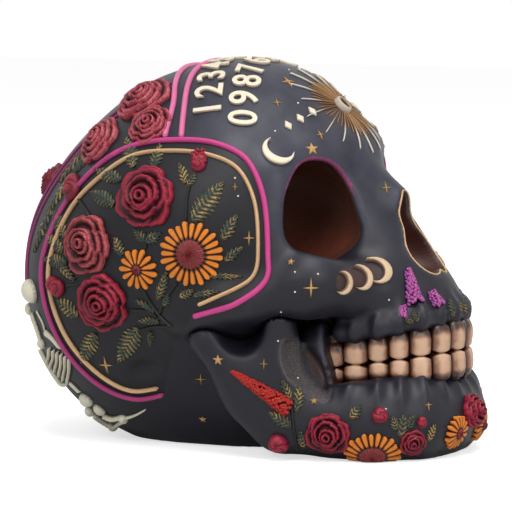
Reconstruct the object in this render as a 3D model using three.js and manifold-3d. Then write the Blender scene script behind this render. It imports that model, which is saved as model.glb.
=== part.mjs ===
// Decorative skull with raised flowers, cords, moons and a sunburst.
// Millimetres, +Z up, the face looks towards -Y, the skull's right side is -X.

import * as THREE from 'three';
import { mergeGeometries, mergeVertices } from 'three/addons/utils/BufferGeometryUtils.js';
import Module from 'manifold-3d';

const wasm = await Module();
wasm.setup();

// Driving sizes of the bare skull
const skullLength = 194;
const skullWidth = 138;
const skullHeight = 154;
const socketWidth = 39;
const socketHeight = 44;
const socketDepth = 32;
const noseWidth = 26;
const noseHeight = 34;
const noseDepth = 16;
const chinRadius = 18.5;
const toothRidgeRadius = 5;

// Teeth
const molarWidth = 9.8;
const premolarWidth = 8;
const canineWidth = 8.8;
const incisorWidth = 8.6;
const toothDepth = 7.5;
const upperToothHeight = 13;
const lowerToothHeight = 12;

// Raised work
const outerCordWidth = 2.3;
const innerCordWidth = 1.8;
const cordHeight = 1.3;
const crownCordWidth = 2.4;
const crownRoseRadius = 10.5;
const crownRoseHeight = 6;
const fieldRoseRadius = 12.5;
const fieldRoseHeight = 6;
const jawRoseRadius = 9;
const jawRoseHeight = 4.6;
const chinRoseRadius = 7;
const chinRoseHeight = 6;
const smallRoseRadius = 5.4;
const smallRoseHeight = 3;
const jawBudRadius = 3.6;
const jawBudHeight = 3.2;
const sunflowerRadius = 12.8;
const sunflowerHeight = 3;
const daisyRadius = 8.2;
const daisyHeight = 2.6;
const halfFlowerRadius = 11;
const zinniaRadius = 7;
const zinniaHeight = 4;
const budRadius = 3.6;
const leafLength = 14;
const leafWidth = 5.8;
const leafHeight = 1.6;
const stemWidth = 1.8;
const stemHeight = 1.3;
const spikeRadius = 3;
const lupinRadius = 3.2;
const templeMoonRadius = 6.2;
const moonRadius = 4.7;
const moonThickness = 2;
const rayLength = 24;
const rayWidth = 1.9;
const rayHeight = 1.2;
const bossRadius = 5;
const bossHeight = 2.6;
const figureBoneRadius = 1.7;

// Clearances and seats
const seatGap = 0.3;
const undersideGap = 0.58;
const rootDepth = 0.9;

// Facet sizes
const braincaseFacet = 14;
const crownFacet = 11;
const faceFacet = 6.8;
const jawFacet = 7.4;
const cordStep = 12;
const sliverSize = 0.27;
const hairSize = 0.005;
const flatTurn = 13;
const leastHeightShare = 0.22;

// Shares of the bare skull: hundredths of its length, given as across, ahead and up
const unit = skullLength / 100;
const pullShare = 0.08;
const widthShare = 71.1;
const heightShare = 79.4;

const headShares = {
  braincase: { at: [0, -10.3, 44.8], radii: [34.5, 29.4, 34] },
  occiput: { at: [0, -21.1, 34.5], radii: [31.4, 29.4, 35.1] },
  forehead: { at: [0, 2.1, 52.6], radii: [27.8, 23.7, 27.1] },
  temple: { at: [19.6, 3.1, 44.3], radii: [13.4, 17, 21.6] },
  skullBase: { at: [0, -3.1, 17.5], radii: [18.6, 26.8, 23.7] },
};
const faceShares = {
  muzzle: { from: [0, 13.4, 56.7], to: [0, 32, 28.4], radii: [12.4, 14.2] },
  nasalBones: { from: [0, 23.7, 57.2], to: [0, 32.5, 52.1], radii: [3.1, 2.6] },
  innerBrow: { from: [3.1, 21.1, 61.9], to: [12.4, 18, 61.3], radii: [4.1, 3.6] },
  outerBrow: { from: [12.4, 18, 61.3], to: [21.6, 13.9, 57.7], radii: [3.6, 3.6] },
  sideRim: { from: [21.6, 13.9, 57.7], to: [24.2, 14.4, 41.2], radii: [3.6, 4.6] },
  cheekBone: { at: [21.6, 22.7, 37.1], radii: [7.7, 7.7, 6.7], yaw: 30 },
  cheekRoot: { from: [22.7, 22.7, 36.1], to: [11.3, 32, 34], radii: [5.7, 5.7] },
  archFront: { from: [23.2, 21.6, 35.1], to: [28.6, 12.4, 33.5], radii: [4.6, 3.9] },
  archBack: { from: [28.6, 12.4, 33.5], to: [29.4, -2.1, 29.9], radii: [3.9, 3.6] },
};
const toothRidgeShares = [[0, 44.6, 29.4], [8.8, 41.8, 28.9], [13.4, 35.6, 27.3], [14.7, 27.8, 25.8]];
const hollowShares = {
  temple: { at: [40.2, 12.4, 39.2], radii: [8.2, 7.7, 6.7] },
  socket: { at: [14.2, 16.5, 50], yaw: 24 },
  noseTop: { at: [0, 36.1, 46.4], pitch: -25 },
  noseWing: { at: [2.8, 39.2, 41.2] },
};
const mouthShares = { from: [0, 20.6, 0], to: [0, 35.1, 0], radii: [12.4, 9.3], top: 31 };
const biteShares = { height: 19.05, start: 29.4, slope: 0.156 };
const upperGumShares = { root: 0.6711, start: 26.8, slope: 0.2, back: 23.7 };
const lowerGumShares = { root: 0.55, start: 30.9, slope: 0.15, back: 26.8, rise: 4 };
const jawShares = {
  chin: { from: [0, 40.2, 7.7], to: [7.7, 38, 7.7] },
  front: { from: [7.7, 38, 7.7], to: [12.9, 32, 7.9], radii: [9.3, 8.8] },
  body: { from: [12.9, 32, 7.9], to: [16.5, 23.7, 8.2], radii: [8.8, 7.2] },
  angle: { from: [16.5, 23.7, 8.2], to: [19.6, 16.5, 7.2], radii: [7.2, 5.9] },
  rearEdge: { from: [27.8, 2.6, 24.7], to: [21.6, 15.5, 7.2], radii: [4.1, 4.6] },
  frontEdge: { from: [24.2, 16.5, 29.9], to: [21.1, 17.5, 8.2], radii: [3.6, 4.6] },
  ramus: { at: [23.7, 12.4, 16.5], radii: [4.6, 8.2, 10.3], yaw: -20 },
  cheekWall: { at: [16, 23.7, 17.5], radii: [4.6, 8.2, 10.3] },
  notch: { at: [28.9, 10.3, 28.9], radii: [7.2, 4.6, 6.7] },
  leafHollow: { at: [23.2, 23.5, 18.8], radii: [7.2, 4, 7.6], pitch: 34 },
};
const blendShares = { head: 6, tight: 4.4, face: 5.2, ridge: 2.1, wide: 8.2, rim: 2.1, lip: 1.4 };
const gradeShares = { ear: 2.6, brow: 64 };

// How far the forms reach, with room for their blends
const roomShares = { across: 5.5, back: 3.5, ahead: 3.26, below: 3, above: 4.3 };
const jawRoomShares = { across: 4.1, back: 0.5, above: 4.5 };
const fieldReachShares = {
  across: headShares.braincase.radii[0] + roomShares.across,
  back: headShares.occiput.at[1] - headShares.occiput.radii[1] - roomShares.back,
  ahead: jawShares.chin.from[1] + chinRadius / unit + roomShares.ahead,
  below: -roomShares.below,
  above: headShares.forehead.at[2] + headShares.forehead.radii[2] + roomShares.above,
};
const jawReachShares = {
  across: jawShares.rearEdge.from[0] + jawShares.rearEdge.radii[0] + jawRoomShares.across,
  back: jawShares.rearEdge.from[1] - jawShares.rearEdge.radii[0] - jawRoomShares.back,
  above: jawShares.frontEdge.from[2] + jawShares.frontEdge.radii[0] + jawRoomShares.above,
};
const probeShare = 0.1;
const settledShare = 0.001;

// Arches that the teeth stand on: across and ahead, from the middle backwards
const upperArchShares = [[0, 46.8], [2.3, 46.4], [6.4, 44.8], [9.8, 41.8], [12.2, 38.4], [13.6, 34.6], [14.6, 30.3], [14.9, 25.2], [15, 17]];
const lowerArchShares = [[0, 46.9], [2.1, 46.6], [5.6, 45.4], [9, 42.8], [11.6, 39.2], [13.4, 35.4], [14.6, 31.3], [15, 26.2], [15, 17]];
const squareness = 3.5;
const overlapShare = 1.1;
const toothShares = [[0, -1], [0.84, -1], [1, 0.1], [0, 1]];

// fields

const clamp = (value, low, high) => Math.min(high, Math.max(low, value));

function join(a, b, softness) {
  const reach = Math.max(softness - Math.abs(a - b), 0) / softness;
  return Math.min(a, b) - reach * reach * softness / 4;
}

function carve(a, b, softness) {
  return -join(-a, b, softness);
}

function ball(q, form, radii = form.radii) {
  let [x, u, z] = [q[0] - form.at[0], q[1] - form.at[1], q[2] - form.at[2]];
  if (form.yaw) {
    const angle = THREE.MathUtils.degToRad(form.yaw);
    [x, u] = [Math.cos(angle) * x - Math.sin(angle) * u, Math.sin(angle) * x + Math.cos(angle) * u];
  }
  if (form.pitch) {
    const angle = THREE.MathUtils.degToRad(form.pitch);
    [u, z] = [Math.cos(angle) * u + Math.sin(angle) * z, Math.cos(angle) * z - Math.sin(angle) * u];
  }
  const near = Math.hypot(x / radii[0], u / radii[1], z / radii[2]);
  const steep = Math.hypot(x / radii[0] ** 2, u / radii[1] ** 2, z / radii[2] ** 2);
  return near * (near - 1) / Math.max(steep, 1e-9);
}

function roundCone(q, from, to, radii) {
  const d = [to[0] - from[0], to[1] - from[1], to[2] - from[2]];
  const p = [q[0] - from[0], q[1] - from[1], q[2] - from[2]];
  const t = clamp((p[0] * d[0] + p[1] * d[1] + p[2] * d[2]) / (d[0] ** 2 + d[1] ** 2 + d[2] ** 2), 0, 1);
  return Math.hypot(p[0] - t * d[0], p[1] - t * d[1], p[2] - t * d[2]) - radii[0] - t * (radii[1] - radii[0]);
}

function bone(q, form) {
  return form.at ? ball(q, form) : roundCone(q, form.from, form.to, form.radii);
}

// The face: bridge of the nose, brows, side rims, cheekbones, arches and tooth ridge
function faceField(q) {
  const { face, ridge, tight } = blendShares;
  let d = bone(q, faceShares.muzzle);
  d = join(d, bone(q, faceShares.nasalBones), tight);
  for (const name of ['innerBrow', 'outerBrow', 'sideRim', 'cheekBone', 'cheekRoot', 'archFront', 'archBack']) {
    d = join(d, bone(q, faceShares[name]), tight);
  }
  const radius = toothRidgeRadius / unit;
  for (let i = 1; i < toothRidgeShares.length; i++) {
    d = join(d, roundCone(q, toothRidgeShares[i - 1], toothRidgeShares[i], [radius, radius]), ridge);
  }
  return d;
}

// The bite line, and the gum lines that lie a share of a tooth away from it
const biteAt = (ahead) => biteShares.height + biteShares.slope * (ahead - biteShares.start);
const rootRise = (height, share) => share * height / skullHeight * heightShare;

function upperGumAt(ahead) {
  const { root, start, slope } = upperGumShares;
  return biteAt(start) + rootRise(upperToothHeight, root) + slope * (ahead - start);
}

function lowerGumAt(ahead) {
  const { root, start, slope, back, rise } = lowerGumShares;
  return biteAt(start) - rootRise(lowerToothHeight, root) + slope * (ahead - start) + Math.max(0, back - ahead) * rise;
}

function craniumField(q) {
  const { head, tight, face, wide, rim, lip } = blendShares;
  let d = bone(q, headShares.braincase);
  d = join(d, bone(q, headShares.occiput), face);
  d = join(d, bone(q, headShares.forehead), head + lip);
  d = join(d, bone(q, headShares.temple), head + lip);
  d = join(d, bone(q, headShares.skullBase), wide);
  d = join(d, faceField(q), face);
  d = carve(d, bone(q, hollowShares.temple), tight);
  const socket = [socketWidth / 2 / unit, socketDepth / unit, socketHeight / 2 / unit];
  d = carve(d, ball(q, hollowShares.socket, socket), rim);
  const [half, deep, tall] = [noseWidth / 2 / unit, noseDepth / unit, noseHeight / 2 / unit];
  const top = ball(q, hollowShares.noseTop, [half * 0.66, deep, tall * 0.78]);
  const wing = ball(q, hollowShares.noseWing, [half * 0.58, deep * 0.94, tall * 0.45]);
  d = carve(d, join(top, wing, rim), lip);
  d = carve(d, carve(q[2] - upperGumAt(q[1]), q[1] - upperGumShares.back, rim), rim);
  const filling = roundCone([q[0], q[1], 0], mouthShares.from, mouthShares.to, mouthShares.radii);
  return Math.min(d, Math.max(filling, q[2] - mouthShares.top));
}

function jawField(q) {
  const { tight, rim, lip } = blendShares;
  const chin = chinRadius / unit;
  let d = roundCone(q, jawShares.chin.from, jawShares.chin.to, [chin, jawShares.front.radii[0]]);
  d = join(d, bone(q, jawShares.front), tight);
  d = join(d, bone(q, jawShares.body), tight);
  d = join(d, bone(q, jawShares.angle), tight);
  let ramus = bone(q, jawShares.rearEdge);
  ramus = join(ramus, bone(q, jawShares.frontEdge), tight);
  ramus = join(ramus, bone(q, jawShares.ramus), tight);
  d = join(d, ramus, tight);
  d = join(d, bone(q, jawShares.cheekWall), rim);
  d = carve(d, bone(q, jawShares.notch), rim);
  d = carve(d, bone(q, jawShares.leafHollow), lip);
  return carve(d, lowerGumAt(q[1]) - q[2], lip);
}

// Fields of a point in millimetres, before the part is set in the middle of its frame
function toShares(p) {
  return [Math.abs(p[0]) / skullWidth * widthShare, -p[1] / unit, p[2] / skullHeight * heightShare];
}
const cranium = (p) => craniumField(toShares(p)) * unit;
const jaw = (p) => jawField(toShares(p)) * unit;
const whole = (p) => Math.min(cranium(p), jaw(p));

function slopeOf(field, p) {
  const e = unit * probeShare;
  const g = [0, 1, 2].map((axis) => {
    const [a, b] = [[...p], [...p]];
    a[axis] += e;
    b[axis] -= e;
    return (field(a) - field(b)) / (2 * e);
  });
  return g;
}

// One pull of a point onto the zero level of a field, never further than reach
function pull(field, p, reach) {
  const g = slopeOf(field, p);
  const steep = Math.max(g[0] ** 2 + g[1] ** 2 + g[2] ** 2, 0.2);
  const move = clamp(-field(p) / steep, -reach, reach);
  return p.map((value, axis) => value + move * g[axis]);
}

// facets from a field

function cuts(from, to, step) {
  const count = Math.max(2, Math.round((to - from) / step));
  return Array.from({ length: count + 1 }, (_, i) => from + (to - from) * i / count);
}

// Symmetric cuts across, with one cell astride the middle plane
function mirrorCuts(reach, step) {
  const half = cuts(step / 2, reach, step);
  return [...half.map((v) => -v).reverse(), ...half];
}

function fieldGeometry(field, xs, ys, zs) {
  const sizes = [xs.length, ys.length, zs.length];
  const at = (i, j, k) => (i * sizes[1] + j) * sizes[2] + k;
  const values = new Float64Array(sizes[0] * sizes[1] * sizes[2]);
  xs.forEach((x, i) => ys.forEach((y, j) => zs.forEach((z, k) => {
    values[at(i, j, k)] = field([x, y, z]);
  })));
  const vertexOf = new Map();
  const points = [];
  for (let i = 0; i < sizes[0] - 1; i++) {
    for (let j = 0; j < sizes[1] - 1; j++) {
      for (let k = 0; k < sizes[2] - 1; k++) {
        const point = cellPoint(field, values, at, xs, ys, zs, i, j, k);
        if (point) {
          vertexOf.set(at(i, j, k), points.length);
          points.push(point);
        }
      }
    }
  }
  const index = [];
  const steps = [[1, 0, 0], [0, 1, 0], [0, 0, 1]];
  for (let axis = 0; axis < 3; axis++) {
    const [s, t] = [steps[(axis + 1) % 3], steps[(axis + 2) % 3]];
    const a = steps[axis];
    for (let i = s[0] + t[0]; i < sizes[0] - a[0]; i++) {
      for (let j = s[1] + t[1]; j < sizes[1] - a[1]; j++) {
        for (let k = s[2] + t[2]; k < sizes[2] - a[2]; k++) {
          const near = values[at(i, j, k)] < 0;
          const far = values[at(i + a[0], j + a[1], k + a[2])] < 0;
          if (near === far) continue;
          const cell = (m, n) => vertexOf.get(at(i - m * s[0] - n * t[0], j - m * s[1] - n * t[1], k - m * s[2] - n * t[2]));
          const quad = [cell(0, 0), cell(1, 0), cell(1, 1), cell(0, 1)];
          pushQuad(index, points, near ? quad : quad.reverse());
        }
      }
    }
  }
  const geometry = new THREE.BufferGeometry();
  geometry.setAttribute('position', new THREE.Float32BufferAttribute(points.flat(), 3));
  geometry.setIndex(index);
  return geometry;
}

// The corner of one cell: nearest to all the tangent planes at its edge crossings, so rims stay crisp
function cellPoint(field, values, at, xs, ys, zs, i, j, k) {
  const corner = (c) => [i + (c & 1), j + ((c >> 1) & 1), k + ((c >> 2) & 1)];
  const value = (c) => values[at(...corner(c))];
  const place = (c) => {
    const [a, b, d] = corner(c);
    return [xs[a], ys[b], zs[d]];
  };
  const crossings = [];
  for (let c = 0; c < 8; c++) {
    for (const bit of [1, 2, 4]) {
      if (c & bit) continue;
      const [v0, v1] = [value(c), value(c | bit)];
      if ((v0 < 0) === (v1 < 0)) continue;
      crossings.push(crossing(field, place(c), place(c | bit), v0, v1));
    }
  }
  if (!crossings.length) return null;
  const mean = [0, 1, 2].map((axis) => crossings.reduce((sum, p) => sum + p[axis], 0) / crossings.length);
  const matrix = new THREE.Matrix3().set(pullShare, 0, 0, 0, pullShare, 0, 0, 0, pullShare);
  const target = new THREE.Vector3();
  for (const p of crossings) {
    const n = new THREE.Vector3(...slopeOf(field, p)).normalize();
    addPlane({ matrix, target }, n, n.dot(new THREE.Vector3(...p).sub(new THREE.Vector3(...mean))));
  }
  const crisp = new THREE.Vector3(...mean).add(target.applyMatrix3(matrix.invert())).toArray();
  const point = pull(field, crisp, seatGap * 2);
  const [low, high] = [place(0), place(7)];
  return point.map((v, axis) => clamp(v, low[axis], high[axis]));
}

// Where a field turns sign on the way from one point to another
function crossing(field, from, to, atFrom, atTo) {
  let [a, b, va, vb] = [from, to, atFrom, atTo];
  let middle = a;
  for (let n = 0; n < 3; n++) {
    const t = va / (va - vb);
    middle = a.map((v, axis) => v + t * (b[axis] - v));
    const value = field(middle);
    if ((value < 0) === (va < 0)) [a, va] = [middle, value];
    else [b, vb] = [middle, value];
  }
  return middle;
}

// A quad splits along its shorter diagonal, ties go to the one with the lowest end
function pushQuad(index, points, quad) {
  const [a, b, c, d] = quad;
  const span = (m, n) => Math.hypot(...points[m].map((v, axis) => v - points[n][axis]));
  const low = (m, n) => Math.min(points[m][2] - points[m][1] / 100, points[n][2] - points[n][1] / 100);
  const gain = span(a, c) - span(b, d);
  const first = Math.abs(gain) < seatGap / 1000 ? low(a, c) < low(b, d) : gain < 0;
  if (first) index.push(a, b, c, a, c, d);
  else index.push(a, b, d, b, c, d);
}

// solids

// A plain indexed copy: shared corners, no thin leftovers
function welded(geometry) {
  const plain = new THREE.BufferGeometry();
  plain.setAttribute('position', geometry.getAttribute('position').clone());
  if (geometry.index) plain.setIndex(geometry.index.clone());
  const merged = mergeVertices(plain, seatGap / 300);
  const source = merged.index.array;
  const kept = [];
  for (let i = 0; i < source.length; i += 3) {
    const [a, b, c] = [source[i], source[i + 1], source[i + 2]];
    if (a !== b && b !== c && c !== a) kept.push(a, b, c);
  }
  merged.setIndex(kept);
  if (enclosed(merged) < 0) turnOver(merged);
  return merged;
}

// Volume inside a closed set of facets, negative where they face inwards
function enclosed(geometry) {
  const position = geometry.getAttribute('position');
  const index = geometry.index.array;
  const corner = (i) => new THREE.Vector3().fromBufferAttribute(position, index[i]);
  let sum = 0;
  for (let i = 0; i < index.length; i += 3) sum += corner(i).dot(corner(i + 1).cross(corner(i + 2))) / 6;
  return sum;
}

function turnOver(geometry) {
  const index = geometry.index.array;
  for (let i = 0; i < index.length; i += 3) [index[i], index[i + 1]] = [index[i + 1], index[i]];
}

function toSolid(geometry) {
  const merged = welded(geometry);
  const vertProperties = new Float32Array(merged.getAttribute('position').array);
  const triVerts = new Uint32Array(merged.index.array);
  return new wasm.Manifold(new wasm.Mesh({ numProp: 3, vertProperties, triVerts }));
}

function toGeometry(solid) {
  const mesh = solid.getMesh();
  return cleaned([...mesh.vertProperties], [...mesh.triVerts]);
}

// Draws every edge shorter than the slivers' size into one corner, where that folds nothing over
function cleaned(flat, index) {
  const short = (points, faces, around, a, b) => points[a].distanceTo(points[b]) <= sliverSize;
  const geometry = drawnIn(flat, index, short);
  parted(geometry);
  return geometry;
}

// Leaves out corners of the right half where the surface hardly turns, then mirrors it onto the left
function thinned(geometry) {
  const level = Math.cos(THREE.MathUtils.degToRad(flatTurn));
  const flat = (points, faces, around, a, b) => {
    if (Math.abs(points[b].x) < hairSize) return false;
    const before = [...around[b]].map((f) => facing(faces[f].map((v) => points[v])));
    const mean = before.reduce((sum, n) => sum.add(n), new THREE.Vector3()).normalize();
    if (before.some((n) => n.normalize().dot(mean) < level)) return false;
    return [...around[b]].filter((f) => !faces[f].includes(a)).every((f) => {
      const corners = faces[f].map((v) => points[v === b ? a : v]);
      const n = facing(corners);
      const longest = Math.max(...corners.map((p, i) => p.distanceTo(corners[(i + 1) % 3])));
      return n.length() > leastHeightShare * longest * longest && n.normalize().dot(mean) > level;
    });
  };
  const places = [...geometry.getAttribute('position').array];
  const corners = [...geometry.index.array];
  const half = corners.filter((_, i) => {
    const face = corners.slice(i - i % 3, i - i % 3 + 3);
    return face.every((v) => places[3 * v] < hairSize);
  });
  const right = drawnIn(places, half, flat);
  return welded(mergeGeometries([right, mirrored(right)]));
}

function facing([p, q, r]) {
  return new THREE.Vector3().crossVectors(q.clone().sub(p), r.clone().sub(p));
}

// Draws corner b into corner a along each edge where the rule given asks for it
function drawnIn(flat, index, wanted) {
  const points = Array.from({ length: flat.length / 3 }, (_, i) => new THREE.Vector3().fromArray(flat, 3 * i));
  let faces = Array.from({ length: index.length / 3 }, (_, i) => index.slice(3 * i, 3 * i + 3));
  for (let round = 0; round < 6; round++) {
    const around = points.map(() => new Set());
    faces.forEach((face, f) => face.forEach((v) => around[v].add(f)));
    const touched = new Set();
    const gone = new Set();
    faces.forEach((face, f) => {
      for (let n = 0; n < 3 && !gone.has(f); n++) {
        let [a, b] = [face[n], face[(n + 1) % 3]];
        if (touched.has(a) || touched.has(b)) continue;
        if (Math.abs(points[b].z) < Math.abs(points[a].z)) [a, b] = [b, a];
        if (!wanted(points, faces, around, a, b) || !collapsible(points, faces, around, a, b)) continue;
        for (const g of around[b]) {
          if (faces[g].includes(a)) gone.add(g);
          faces[g].forEach((v) => touched.add(v));
          faces[g] = faces[g].map((v) => (v === b ? a : v));
        }
        around[a].forEach((g) => faces[g].forEach((v) => touched.add(v)));
      }
    });
    if (!gone.size) break;
    faces = faces.filter((_, f) => !gone.has(f));
  }
  const used = [...new Set(faces.flat())];
  const place = new Map(used.map((v, i) => [v, i]));
  const geometry = new THREE.BufferGeometry();
  geometry.setAttribute('position', new THREE.Float32BufferAttribute(used.flatMap((v) => points[v].toArray()), 3));
  geometry.setIndex(faces.flat().map((v) => place.get(v)));
  return geometry;
}

// Corners that share one place are drawn a hair into the material, each from its own side
function parted(geometry) {
  geometry.computeVertexNormals();
  const position = geometry.getAttribute('position');
  const normal = geometry.getAttribute('normal');
  const seen = new Map();
  for (let i = 0; i < position.count; i++) {
    const key = [0, 1, 2].map((axis) => Math.round(position.getComponent(i, axis) / hairSize)).join();
    seen.set(key, [...(seen.get(key) ?? []), i]);
  }
  for (const twins of seen.values()) {
    if (twins.length < 2) continue;
    for (const i of twins) {
      for (let axis = 0; axis < 3; axis++) {
        const moved = position.getComponent(i, axis) - normal.getComponent(i, axis) * hairSize * 4;
        position.setComponent(i, axis, moved);
      }
    }
  }
  geometry.deleteAttribute('normal');
}

// Corner b may move onto corner a where they share two neighbours and no facet turns over
function collapsible(points, faces, around, a, b) {
  const ring = (v) => new Set([...around[v]].flatMap((f) => faces[f]));
  const [near, far] = [ring(a), ring(b)];
  const shared = [...near].filter((v) => far.has(v) && v !== a && v !== b);
  if (shared.length !== 2) return false;
  return [...around[b]].every((f) => {
    if (faces[f].includes(a)) return true;
    const before = facing(faces[f].map((v) => points[v]));
    const after = facing(faces[f].map((v) => points[v === b ? a : v]));
    return after.length() > sliverSize * sliverSize / 50 && before.dot(after) > 0;
  });
}

// The same facets moved outwards by a gap, corners mitred, used to keep other pieces clear
function swollen(geometry, gap) {
  const merged = welded(geometry);
  const position = merged.getAttribute('position');
  const index = merged.index.array;
  const moves = Array.from({ length: position.count }, () => ({
    matrix: new THREE.Matrix3().set(pullShare, 0, 0, 0, pullShare, 0, 0, 0, pullShare),
    target: new THREE.Vector3(),
  }));
  const corner = (i) => new THREE.Vector3().fromBufferAttribute(position, index[i]);
  for (let i = 0; i < index.length; i += 3) {
    const [p, q, r] = [corner(i), corner(i + 1), corner(i + 2)];
    const n = new THREE.Vector3().crossVectors(q.sub(p), r.sub(p)).normalize();
    for (let k = i; k < i + 3; k++) addPlane(moves[index[k]], n, gap);
  }
  moves.forEach(({ matrix, target }, i) => {
    const move = target.applyMatrix3(matrix.invert()).clampLength(0, gap * 2);
    position.setXYZ(i, position.getX(i) + move.x, position.getY(i) + move.y, position.getZ(i) + move.z);
  });
  return merged;
}

// Adds the wish to lie at an offset along a normal to a least-squares sum
function addPlane({ matrix, target }, n, offset) {
  target.addScaledVector(n, offset);
  const [x, y, z] = n.toArray();
  [x * x, x * y, x * z, x * y, y * y, y * z, x * z, y * z, z * z].forEach((v, m) => {
    matrix.elements[m] += v;
  });
}

// A solid that keeps other pieces clear of the given one
function keepClear(geometry) {
  return toSolid(swollen(geometry, seatGap)).add(toSolid(geometry));
}

// Keeps clear of a laid piece and of the slit below it
function keepClearBelow(geometry) {
  return keepClear(geometry).add(keepClear(lowered(geometry)));
}

function lowered(geometry) {
  const low = welded(geometry);
  const position = low.getAttribute('position');
  for (let i = 0; i < position.count; i++) {
    const p = new THREE.Vector3().fromBufferAttribute(position, i);
    p.addScaledVector(surfaceNormal(p.toArray()), -undersideGap);
    position.setXYZ(i, p.x, p.y, p.z);
  }
  return low;
}

function mirrored(geometry) {
  const copy = geometry.clone();
  copy.scale(-1, 1, 1);
  turnOver(copy);
  return copy;
}

function largest(solid) {
  const bodies = solid.decompose();
  return bodies.reduce((best, body) => (body.volume() > best.volume() ? body : best));
}

// places on the surface

const lupinRiseShare = 6.1;
const heartShares = {
  head: [0, -5.2, 41.2],
  face: [0, 20.6, 30.9],
  jaw: [0, 23.2, 11.3],
  muzzle: [0, 20.6, upperGumAt(mouthShares.to[1]) + lupinRiseShare],
};

// The outermost surface point seen from a heart, turned right by azimuth and up by elevation
function spot(heart, azimuth, elevation) {
  const [a, e] = [THREE.MathUtils.degToRad(azimuth), THREE.MathUtils.degToRad(elevation)];
  const origin = [
    heartShares[heart][0],
    -heartShares[heart][1] * unit,
    heartShares[heart][2] / heightShare * skullHeight,
  ];
  const way = [-Math.sin(a) * Math.cos(e), -Math.cos(a) * Math.cos(e), Math.sin(e)];
  let distance = skullLength * 0.7;
  for (let i = 0; i < 120; i++) {
    const value = whole(origin.map((v, axis) => v + way[axis] * distance));
    distance -= value * 0.7;
    if (Math.abs(value) < unit * settledShare) break;
  }
  return origin.map((v, axis) => v + way[axis] * distance);
}

function surfaceNormal(p) {
  return new THREE.Vector3(...slopeOf(whole, p)).normalize();
}

// A place with its own upright frame, spun about the surface normal
function placeAt(heart, azimuth, elevation, spin = 0) {
  const point = spot(heart, azimuth, elevation);
  const out = surfaceNormal(point);
  const up = new THREE.Vector3(0, 0, 1);
  const rise = up.addScaledVector(out, -up.dot(out)).normalize();
  rise.applyAxisAngle(out, THREE.MathUtils.degToRad(spin));
  const side = new THREE.Vector3().crossVectors(rise, out).normalize();
  return { point, out, rise, side };
}

// Bends a flat model (side, rise, height) onto the surface round a place
function laid(geometry, place) {
  const bent = welded(geometry);
  const position = bent.getAttribute('position');
  for (let i = 0; i < position.count; i++) {
    const flat = new THREE.Vector3(...place.point)
      .addScaledVector(place.side, position.getX(i))
      .addScaledVector(place.rise, position.getY(i));
    let seat = [flat.x, flat.y, flat.z];
    for (let n = 0; n < 4; n++) seat = pull(whole, seat, skullLength / 20);
    const end = new THREE.Vector3(...seat).addScaledVector(surfaceNormal(seat), position.getZ(i));
    position.setXYZ(i, end.x, end.y, end.z);
  }
  return bent;
}

// flat models of the raised work

// A turned profile of share pairs, upright along Z, with its underside just clear of the surface
function turned(profile, radius, height, segments, hollow = 0) {
  const rise = (h) => (h < 0 ? undersideGap + (h < -1 ? hollow : 0) : h * height);
  const points = profile.map(([r, h]) => new THREE.Vector2(r * radius, rise(h)));
  const geometry = new THREE.LatheGeometry(points, segments);
  geometry.rotateX(Math.PI / 2);
  return welded(geometry);
}

// Lobes round a turned model: each ring is drawn in and out by a share, with its own turn
function lobed(geometry, radius, lobes, depth, turn) {
  const position = geometry.getAttribute('position');
  for (let i = 0; i < position.count; i++) {
    const [x, y] = [position.getX(i), position.getY(i)];
    const r = Math.hypot(x, y);
    const angle = Math.atan2(y, x) + turn * r / radius;
    const scale = 1 - depth * (r / radius) * (0.5 - 0.5 * Math.cos(lobes * Math.atan2(y, x)));
    position.setX(i, r * scale * Math.cos(angle));
    position.setY(i, r * scale * Math.sin(angle));
  }
  return geometry;
}

// Two rings of petals round a heart
function rose(radius, height) {
  const shares = [[0, -1], [0.95, -1], [1, 0.34], [0.74, 0.68], [0.62, 0.54], [0.36, 0.95], [0, 0.84]];
  return lobed(turned(shares, radius, height, 10), radius, 5, 0.14, 0.9);
}

function daisy(radius, height, petals) {
  const shares = [[0, -2], [0.66, -1], [1, 0.45], [0.44, 0.66], [0, 1]];
  return lobed(turned(shares, radius, height, petals * 2, stemHeight + seatGap), radius, petals, 0.2, 0);
}

// A spindle lying on the surface: half widths along its length as shares
function spindle(length, width, height, outline, segments = 4) {
  const points = outline.map(([along, half]) => new THREE.Vector2(half, along * length));
  const geometry = new THREE.LatheGeometry(points, segments);
  const position = geometry.getAttribute('position');
  for (let i = 0; i < position.count; i++) {
    const z = position.getZ(i);
    position.setX(i, position.getX(i) * width / 2);
    position.setZ(i, z > 0 ? undersideGap + z * height : undersideGap);
  }
  return welded(geometry);
}

const leafShares = [[0, 0], [0.25, 0.9], [0.6, 1], [1, 0]];
const spikeShares = [[0, 0], [0.08, 0.8], [0.3, 1], [0.65, 0.7], [1, 0]];
const budShares = [[0, 0], [0.15, 0.75], [0.5, 1], [0.85, 0.6], [1, 0]];
const rayShares = [[0, 0], [0.1, 1], [0.5, 0.8], [1, 0]];
const stemShares = [[0, 0], [0.05, 1], [0.95, 1], [1, 0]];
const boneShares = [[0, 0], [0.12, 1], [0.5, 0.7], [0.88, 1], [1, 0]];
const rayCount = 12;
const shortRayShare = 0.62;

function crescent(radius, thickness) {
  const shape = new THREE.Shape();
  const inner = radius * 0.82;
  const shift = radius * 0.42;
  const meet = Math.acos((radius ** 2 + shift ** 2 - inner ** 2) / (2 * radius * shift));
  const meetInner = Math.atan2(radius * Math.sin(meet), radius * Math.cos(meet) - shift);
  shape.absarc(0, 0, radius, meet, 2 * Math.PI - meet, false);
  shape.absarc(shift, 0, inner, 2 * Math.PI - meetInner, meetInner, true);
  const geometry = new THREE.ExtrudeGeometry(shape, { depth: thickness, bevelEnabled: false, curveSegments: 4 });
  geometry.translate(shift / 2, 0, undersideGap);
  return welded(geometry);
}

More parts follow.
